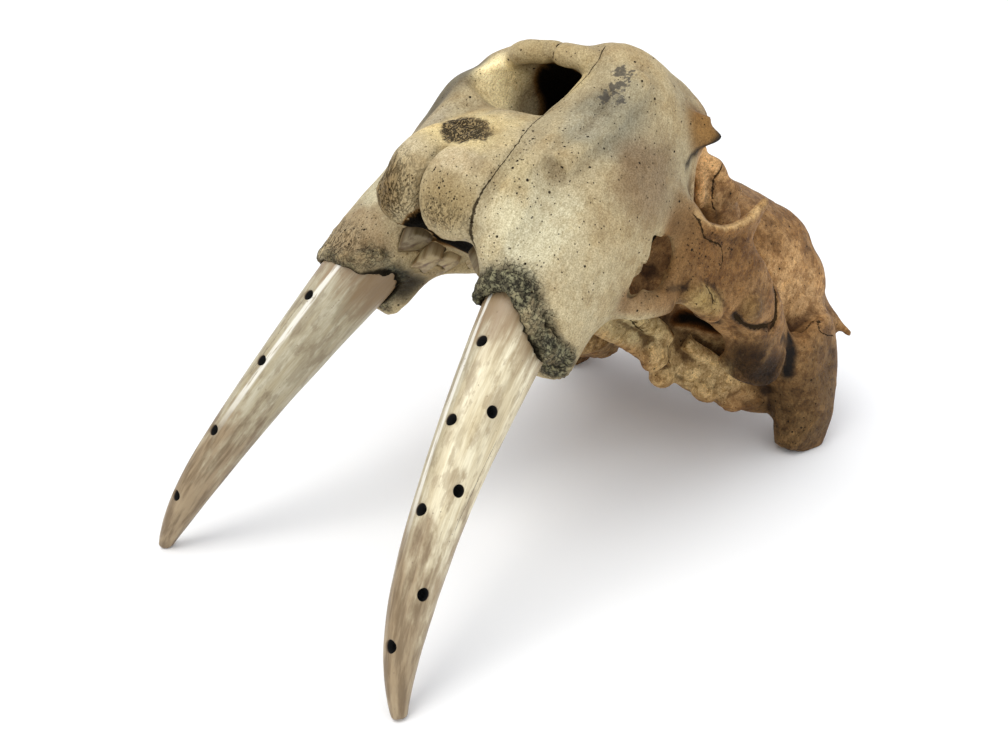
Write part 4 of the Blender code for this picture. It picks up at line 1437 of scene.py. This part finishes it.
def make_pores():
    """Round pits: a cell pattern in which only some of the cells hold one."""
    tree, given, out = new_group("pores", [("Place", VECTOR, None), ("Size", FLOAT, 3.0),
                                           ("Share", FLOAT, 0.3), ("Radius", FLOAT, 0.26)], ["Pore"])
    warp = shift(tree, "SCALE", given["Place"], calc(tree, "DIVIDE", 1.0, given["Size"]))
    cells = tree.nodes.new("ShaderNodeTexVoronoi")
    cells.inputs["Scale"].default_value = 1.0
    tree.links.new(warp, cells.inputs["Vector"])
    chosen = calc(tree, "LESS_THAN", parts_of(tree, cells.outputs["Color"])[0], given["Share"])
    ragged = calc(tree, "MULTIPLY_ADD", cloud(tree, warp, 3.0, 1.0), 0.16, cells.outputs["Distance"])
    pit = ramp(tree, calc(tree, "SUBTRACT", ragged, 0.08), given["Radius"],
               times(tree, given["Radius"], 0.55))
    tree.links.new(times(tree, pit, chosen), out["Pore"])
    return tree


def make_stains():
    """Cloudy patches with a soft or a firm edge."""
    tree, given, out = new_group("stains", [("Place", VECTOR, None), ("Size", FLOAT, 20.0),
                                            ("Level", FLOAT, 0.5), ("Edge", FLOAT, 0.08)], ["Stain"])
    place = shift(tree, "SCALE", given["Place"], calc(tree, "DIVIDE", 1.0, given["Size"]))
    patchy = cloud(tree, place, 1.0, 5.0, 0.6)
    stain = ramp(tree, patchy, calc(tree, "SUBTRACT", given["Level"], given["Edge"]),
                 calc(tree, "ADD", given["Level"], given["Edge"]))
    tree.links.new(stain, out["Stain"])
    return tree


def make_seam():
    """A thin dark line that wanders a little to each side of its path."""
    tree, given, out = new_group("seam", [("Place", VECTOR, None), ("Distance", FLOAT, 9.0),
                                          ("Half width", FLOAT, 0.0), ("Wander", FLOAT, 1.2)], ["Line"])
    aside = calc(tree, "SUBTRACT", cloud(tree, given["Place"], 0.35, 3.0), 0.5)
    wander = times(tree, aside, given["Wander"])
    away = calc(tree, "ABSOLUTE", calc(tree, "ADD", given["Distance"], wander))
    swelling = ramp(tree, cloud(tree, given["Place"], 0.5, 2.0), 0.3, 0.7, 0.4, 1.5)
    uneven = times(tree, given["Half width"], swelling)
    line = ramp(tree, away, times(tree, uneven, 1.3), times(tree, uneven, 0.5))
    there = calc(tree, "GREATER_THAN", given["Half width"], 0.05)
    tree.links.new(times(tree, line, there), out["Line"])
    return tree


def make_stretch():
    """Noise drawn out along one axis of the place, for the grain of ivory and of fibrous bone."""
    tree, given, out = new_group("drawn_grain", [("Place", VECTOR, None), ("Size", FLOAT, 2.0),
                                                 ("Length", FLOAT, 12.0)], ["Grain"])
    x, y, z = parts_of(tree, given["Place"])
    drawn = tree.nodes.new("ShaderNodeCombineXYZ")
    for value, socket in zip((x, y, calc(tree, "DIVIDE", z, given["Length"])), drawn.inputs):
        tree.links.new(value, socket)
    place = shift(tree, "SCALE", drawn.outputs[0], calc(tree, "DIVIDE", 1.0, given["Size"]))
    tree.links.new(cloud(tree, place, 1.0, 4.0, 0.6), out["Grain"])
    return tree


PORES, STAINS, SEAM, STRETCH = make_pores(), make_stains(), make_seam(), make_stretch()
print("shader groups:", [tree.name for tree in (PORES, STAINS, SEAM, STRETCH)])

# %% [markdown]
# ## Bone
# Weathered bone is dry, porous and stained. The paint gives its broad colour. Over that come stains,
# a fine stipple of dark and pale grains, round pores, dirt and painted shade in the hollows, dark
# greenish crusts at the sockets, painted shadow in the gap beside each tusk, painted shade deep in the
# cavities, and the seams. The pores and seams are pressed into its relief too.

# %% The bone material
def blank_material(name):
    made = bpy.data.materials.new(name)
    made.use_nodes = True
    return made, made.node_tree, made.node_tree.nodes["Principled BSDF"]


def relief(tree, height, strength, distance):
    bump = tree.nodes.new("ShaderNodeBump")
    bump.inputs["Strength"].default_value = strength
    bump.inputs["Distance"].default_value = distance * MM
    tree.links.new(height, bump.inputs["Height"])
    return bump.outputs["Normal"]


# the mottling of the old bone behind: size, level, strength and tint
MOTTLING = ((9.0, 0.52, 0.6, (0.42, 0.33, 0.22)), (3.6, 0.55, 0.55, (0.48, 0.40, 0.30)),
            (6.0, 0.60, 0.5, (1.45, 1.40, 1.25)))
# clouds of brown, grey and pale all over: how far the pattern is moved, size, level, edge, strength, tint
CLOUDS = (((0, 0, 0), 26.0, 0.56, 0.10, 0.45, (0.62, 0.50, 0.36)),
          ((0, 0, 0), 11.0, 0.60, 0.08, 0.35, (0.60, 0.52, 0.40)),
          ((40, 9, 77), 8.0, 0.62, 0.08, 0.35, (1.22, 1.18, 1.12)))


def make_bone():
    made, tree, shader = blank_material("bone")
    place = mark(tree, "spot", "Vector")
    colour = mark(tree, "paint", "Color")
    rim = mark(tree, "rim")
    age = mark(tree, "age")
    for size, level, strength, tint in MOTTLING:
        moved = shift(tree, "ADD", place, (size * 31, 7, 3))
        spots = use(tree, STAINS, Place=moved, Size=size, Level=level, Edge=0.06)
        colour = mix(tree, times(tree, spots, strength, age), colour, tint, "MULTIPLY")
    for offset, size, level, edge, strength, tint in CLOUDS:
        moved = shift(tree, "ADD", place, offset)
        patches = use(tree, STAINS, Place=moved, Size=size, Level=level, Edge=edge)
        colour = laid(tree, colour, patches, strength, tint, "MULTIPLY")
    # stipple, and grain along the bone
    fine = cloud(tree, place, 1.1, 3.0, 0.7)
    colour = grained(tree, colour, 0.85, ramp(tree, fine, 0.32, 0.68), (0.66, 0.62, 0.54), (1.22, 1.22, 1.20))
    drawn = use(tree, STRETCH, Place=place, Size=1.6, Length=5.0)
    colour = grained(tree, colour, 0.6, ramp(tree, drawn, 0.35, 0.65), (0.82, 0.79, 0.72), (1.10, 1.10, 1.10))
    # the dark round stains at the top of the near maxilla
    ragged = swayed(tree, mark(tree, "blotch"), cloud(tree, place, 0.42, 4.0, 0.6), 1.5)
    colour = laid(tree, colour, ramp(tree, ragged, 0.36, 0.56), 0.82, (0.06, 0.053, 0.045))
    # crusts at the sockets, and painted shadow in the narrow gap beside each tusk
    curl = calc(tree, "ABSOLUTE", calc(tree, "SUBTRACT", cloud(tree, place, 0.33, 3.0, 0.55), 0.5))
    crust = ramp(tree, curl, 0.045, 0.008)
    flecks = use(tree, STAINS, Place=place, Size=3.2, Level=0.48, Edge=0.08)
    greenish = mix(tree, flecks, (0.20, 0.19, 0.11), (0.032, 0.03, 0.017))
    colour = laid(tree, colour, rim, 0.92, greenish)
    colour = mix(tree, times(tree, rim, times(tree, crust, 0.8)), colour, (0.02, 0.018, 0.011))
    beside = mark(tree, "beside")
    colour = laid(tree, colour, beside, 0.95, (0.010, 0.008, 0.005))
    # furrows
    upright = use(tree, STRETCH, Place=shift(tree, "ADD", place, (5, 90, 3)), Size=2.6, Length=3.0)
    crease = ramp(tree, calc(tree, "ABSOLUTE", calc(tree, "SUBTRACT", upright, 0.5)), 0.05, 0.0)
    furrow = times(tree, crease, mark(tree, "furrow"))
    colour = laid(tree, colour, furrow, 0.7, (0.05, 0.034, 0.017))
    # dirt and painted shade in the hollows, and worn pale edges
    wavy = swayed(tree, mark(tree, "hollow"), cloud(tree, place, 0.4, 4.0), 0.7)
    dirt_and_shade = times(tree, ramp(tree, wavy, 0.2, 1.1), ramp(tree, age, 0.0, 1.0, 0.35, 0.9))
    colour = mix(tree, dirt_and_shade, colour, (0.20, 0.14, 0.08), "MULTIPLY")
    colour = laid(tree, colour, ramp(tree, wavy, -0.2, -0.9), 0.45, (1.35, 1.32, 1.25), "MULTIPLY")
    # pores, large and small
    share = mark(tree, "pore_share")
    large = use(tree, PORES, Place=place, Size=4.2, Share=times(tree, share, 0.62), Radius=0.21)
    small = use(tree, PORES, Place=shift(tree, "ADD", place, (13, 5, 3)), Size=2.1,
                Share=calc(tree, "MULTIPLY_ADD", share, 0.9, 0.05), Radius=0.25)
    specks = use(tree, PORES, Place=shift(tree, "ADD", place, (3, 55, 31)), Size=1.25, Share=0.22,
                 Radius=0.36)
    colour = laid(tree, colour, specks, 0.5, (0.45, 0.40, 0.32), "MULTIPLY")
    pores = calc(tree, "MAXIMUM", large, times(tree, small, 0.8))
    colour = mix(tree, pores, colour, (0.03, 0.022, 0.014))
    # seams and cracks
    line = use(tree, SEAM, Place=place, Distance=mark(tree, "seam"), Half_width=mark(tree, "seam_width"),
               Wander=1.1)
    colour = laid(tree, colour, line, 0.92, (0.028, 0.018, 0.009))
    # the rough spot of the snout, in strands that are dark on one side and brown on the other
    u, v, inside = parts_of(tree, mark(tree, "rosette", "Vector"))
    wobble = times(tree, cloud(tree, place, 0.13, 4.0, 0.6), 44.0)
    fanned = calc(tree, "ARCTAN2", v, calc(tree, "SUBTRACT", FAN_ROOT, u))
    strand = calc(tree, "SINE", calc(tree, "MULTIPLY_ADD", fanned, 26.0, wobble))
    patchy = swayed(tree, inside, cloud(tree, place, 0.2, 3.0), 1.3)
    brown = mix(tree, ramp(tree, u, 2.0, 12.0), (0.02, 0.011, 0.004), (0.11, 0.075, 0.033))
    strands = mix(tree, ramp(tree, strand, -0.3, 0.9), brown, (0.36, 0.255, 0.12))
    colour = laid(tree, colour, ramp(tree, patchy, 0.2, 0.55), 0.92, strands)
    # painted shade in the cavities, darkening to black where it is deepest
    dark = mark(tree, "dark")
    colour = mix(tree, ramp(tree, dark, 0.0, 0.6), colour, (0.42, 0.28, 0.16), "MULTIPLY")
    colour = mix(tree, ramp(tree, dark, 0.4, 1.0), colour, (0.004, 0.003, 0.002))
    tree.links.new(colour, shader.inputs["Base Color"])
    feed(tree, ramp(tree, fine, 0.3, 0.7, 0.48, 0.72), shader.inputs["Roughness"])
    # nothing shines in a crack, a pore or a cavity
    dull = dark
    for other in (beside, line, pores, furrow):
        dull = calc(tree, "MAXIMUM", dull, other)
    feed(tree, ramp(tree, dull, 0.0, 0.8, 0.16, 0.01), shader.inputs["Specular IOR Level"])
    height = calc(tree, "MULTIPLY_ADD", cloud(tree, place, 0.33, 4.0, 0.6), 0.9, times(tree, fine, 0.35))
    for form, depth in ((drawn, 0.3), (furrow, -1.2), (pores, -1.0), (line, -1.2),
                        (times(tree, crust, rim), -1.6), (times(tree, strand, inside), 0.9)):
        height = calc(tree, "MULTIPLY_ADD", form, depth, height)
    tree.links.new(relief(tree, height, 1.0, 1.1), shader.inputs["Normal"])
    return made


bone = make_bone()
print("bone:", len(bone.node_tree.nodes), "nodes")

# %% [markdown]
# ## Ivory and teeth
# Ivory is denser and smoother than bone, so it shines softly. Its grain and its stains run along the
# tusk, it is brown at the root and towards the tip, and a streak near its front edge is almost white,
# partly polish and partly a painted highlight. Shade is painted into the drilled holes. The small teeth
# are worn down to yellow dentine with a dark spot of pulp.

# %% The ivory and tooth materials
def make_ivory():
    made, tree, shader = blank_material("ivory")
    place = mark(tree, "grain", "Vector")
    front, outer, along = parts_of(tree, place)
    long_fine = use(tree, STRETCH, Place=place, Size=0.9, Length=60.0)
    long_wide = use(tree, STRETCH, Place=shift(tree, "ADD", place, (9, 31, 300)), Size=5.0, Length=12.0)
    blotch = use(tree, STRETCH, Place=shift(tree, "ADD", place, (70, 3, 90)), Size=9.0, Length=2.6)
    colour = mix(tree, ramp(tree, long_wide, 0.35, 0.66), (0.64, 0.54, 0.345), (0.82, 0.75, 0.55))
    colour = laid(tree, colour, ramp(tree, blotch, 0.48, 0.62), 0.6, (0.46, 0.38, 0.24))
    squeezed = shift(tree, "MULTIPLY", place, (1.0, 1.0, 0.4))
    patch = use(tree, STAINS, Place=squeezed, Size=6.0, Level=0.56, Edge=0.05)
    colour = laid(tree, colour, patch, 0.5, (0.34, 0.25, 0.14))
    colour = grained(tree, colour, 0.7, ramp(tree, long_fine, 0.3, 0.7), (0.80, 0.76, 0.68),
                     (1.08, 1.08, 1.06))
    colour = mix(tree, 1.0, colour, mark(tree, "tone"), "MULTIPLY")
    # brown from the middle to the tip, and at the root
    low = swayed(tree, along, blotch, 190.0)
    tip = mix(tree, ramp(tree, long_wide, 0.4, 0.6), (0.16, 0.10, 0.045), (0.33, 0.235, 0.13))
    colour = laid(tree, colour, ramp(tree, low, 90.0, 160.0), 0.9, tip)
    rooty = swayed(tree, along, long_wide, 60.0)
    colour = laid(tree, colour, ramp(tree, rooty, 36.0, 4.0), 0.85, (0.26, 0.165, 0.08))
    # a pale streak a little inside of the front edge: partly polish, partly a painted highlight
    edge = calc(tree, "ABSOLUTE", calc(tree, "ADD", outer, calc(tree, "MULTIPLY_ADD", along, -0.02, 5.5)))
    broken = times(tree, ramp(tree, edge, 2.2, 1.0), ramp(tree, long_wide, 0.36, 0.46))
    upper_front = times(tree, ramp(tree, front, 0.0, 3.0), ramp(tree, along, 140.0, 90.0))
    polish_and_highlight = times(tree, broken, upper_front)
    colour = laid(tree, colour, polish_and_highlight, 0.9, (0.82, 0.78, 0.68))
    # specks and cracks
    specks = use(tree, PORES, Place=place, Size=2.6, Share=0.10, Radius=0.2)
    colour = laid(tree, colour, specks, 0.6, (0.25, 0.18, 0.11))
    line = use(tree, SEAM, Place=place, Distance=mark(tree, "seam"), Half_width=mark(tree, "seam_width"),
               Wander=1.0)
    colour = laid(tree, colour, line, 0.8, (0.10, 0.07, 0.04))
    # painted shade in the drilled holes, darkening to black towards their floor
    deep = mark(tree, "bored")
    colour = mix(tree, ramp(tree, deep, 0.5, 1.1), colour, (0.12, 0.08, 0.05))
    colour = mix(tree, ramp(tree, deep, 0.9, 1.9), colour, (0.004, 0.004, 0.004))
    tree.links.new(colour, shader.inputs["Base Color"])
    gloss = ramp(tree, long_fine, 0.3, 0.7, 0.30, 0.46)
    feed(tree, calc(tree, "MAXIMUM", gloss, ramp(tree, deep, 0.5, 1.2)), shader.inputs["Roughness"])
    height = calc(tree, "MULTIPLY_ADD", long_fine, 0.5, times(tree, long_wide, 0.5))
    height = calc(tree, "MULTIPLY_ADD", calc(tree, "MAXIMUM", line, specks), -0.6, height)
    tree.links.new(relief(tree, height, 0.6, 0.5), shader.inputs["Normal"])
    return made


def make_tooth():
    made, tree, shader = blank_material("worn tooth")
    place = mark(tree, "grain", "Vector")
    x, y, share = parts_of(tree, place)
    stain = use(tree, STAINS, Place=place, Size=4.0, Level=0.5, Edge=0.14)
    colour = mix(tree, stain, (0.22, 0.14, 0.055), (0.46, 0.36, 0.19))
    # the dark spot of pulp in the middle, and the brown root
    ring = calc(tree, "SQRT", calc(tree, "ADD", times(tree, x, x), times(tree, y, y)))
    ragged = calc(tree, "MULTIPLY_ADD", stain, 0.8, ring)
    colour = laid(tree, colour, ramp(tree, ragged, 2.3, 1.0), 0.85, (0.13, 0.06, 0.022))
    colour = laid(tree, colour, ramp(tree, share, 0.85, 0.5), 0.8, (0.20, 0.13, 0.06))
    fine = cloud(tree, place, 1.6, 4.0, 0.7)
    colour = grained(tree, colour, 0.7, fine, (0.55, 0.5, 0.42), (1.3, 1.3, 1.3))
    colour = mix(tree, 1.0, colour, mark(tree, "tone"), "MULTIPLY")
    tree.links.new(colour, shader.inputs["Base Color"])
    shader.inputs["Roughness"].default_value = 0.42
    tree.links.new(relief(tree, fine, 0.5, 0.4), shader.inputs["Normal"])
    return made


ivory = make_ivory()
worn_tooth = make_tooth()
print("ivory:", len(ivory.node_tree.nodes), "nodes; worn tooth:", len(worn_tooth.node_tree.nodes), "nodes")

# %% [markdown]
# ## Dressing the model
# The meshes were made level, in the skull's own frame. Now each is set down in the resting pose, gets
# its material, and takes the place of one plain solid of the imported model. Nothing on a skull moves,
# so all of them ride on the one body that the model has.

# %% Dressing every node
def plain_material(name, colour, roughness):
    made, _, shader = blank_material(name)
    shader.inputs["Base Color"].default_value = (*colour, 1)
    shader.inputs["Roughness"].default_value = roughness
    return made


def dress(thing, look, slot, *nodes):
    set_down(thing)
    thing.data.materials.clear()
    thing.data.materials.append(look)
    thing.data.shade_smooth()
    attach(thing, "root")
    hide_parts(*nodes)


dress(skull, bone, "bone", "cranium")
for word, tusk in tusks.items():
    dress(tusk, ivory, "ivory", f"{word}_tusk")
for node, tooth in teeth.items():
    dress(tooth, worn_tooth, "tooth", node)

# %% [markdown]
# ## Floor, light and camera
# The skull lies on a plain pale floor under broad, soft light, as in a photographer's studio. A bright
# world gives most of it. A wide warm sun in front and above models the forms, and a weak one from the
# animal's left fills the shadows. The camera stands where the photograph was taken: its place, its
# turn and its lens were fitted to the skull's outline there.

# %% Studio
FLOOR_HALF = 6.0
FLOOR_DROP = 0.0004               # the floor lies a hair lower than the skull's resting points
SKY_COLOUR = (0.97, 1.0, 1.05)
SKY_STRENGTH = 0.84
SENSOR_WIDTH = 36


def make_floor():
    bm = bmesh.new()
    bmesh.ops.create_grid(bm, x_segments=8, y_segments=8, size=FLOOR_HALF)
    floor = new_object("studio_floor", bm)
    floor.location.z = -FLOOR_DROP
    floor.data.materials.append(plain_material("studio floor", (0.96, 0.96, 0.96), 0.9))


def soft_sun(name, direction, watts, spread, colour=(1, 1, 1)):
    """Light from one direction everywhere, with soft shadows."""
    data = bpy.data.lights.new(name, "SUN")
    data.energy = watts
    data.angle = math.radians(spread)
    data.color = colour
    light = bpy.data.objects.new(name, data)
    bpy.context.scene.collection.objects.link(light)
    light.rotation_euler = Vector(direction).to_track_quat("Z", "Y").to_euler()


def bright_world():
    world = bpy.data.worlds.new("studio")
    world.use_nodes = True
    background = world.node_tree.nodes["Background"]
    background.inputs["Color"].default_value = (*SKY_COLOUR, 1)
    background.inputs["Strength"].default_value = SKY_STRENGTH
    bpy.context.scene.world = world


CAMERA_PLACE = Vector((451.7, -490.2, 391.2)) * MM
CAMERA_RIGHT = Vector((0.71569, 0.69816, -0.01899))
CAMERA_UP = Vector((-0.28972, 0.32152, 0.90149))
CAMERA_LENS = 39.786


def make_camera():
    data = bpy.data.cameras.new("camera")
    data.sensor_width = SENSOR_WIDTH
    data.lens = CAMERA_LENS
    data.clip_start = 0.01
    camera = bpy.data.objects.new("camera", data)
    bpy.context.scene.collection.objects.link(camera)
    back = CAMERA_RIGHT.cross(CAMERA_UP)
    turn = Matrix((CAMERA_RIGHT, CAMERA_UP, back)).transposed().to_4x4()
    camera.matrix_world = Matrix.Translation(CAMERA_PLACE) @ turn
    bpy.context.scene.camera = camera


make_floor()
bright_world()
soft_sun("key", (-0.2, -0.75, 1.6), 1.35, 40, (1.0, 0.98, 0.94))
soft_sun("fill", (1.0, -0.6, 0.8), 0.32, 80)
make_camera()
bpy.context.scene.view_settings.view_transform = "Standard"
print("camera", round(CAMERA_PLACE.length, 3), "m from the origin")
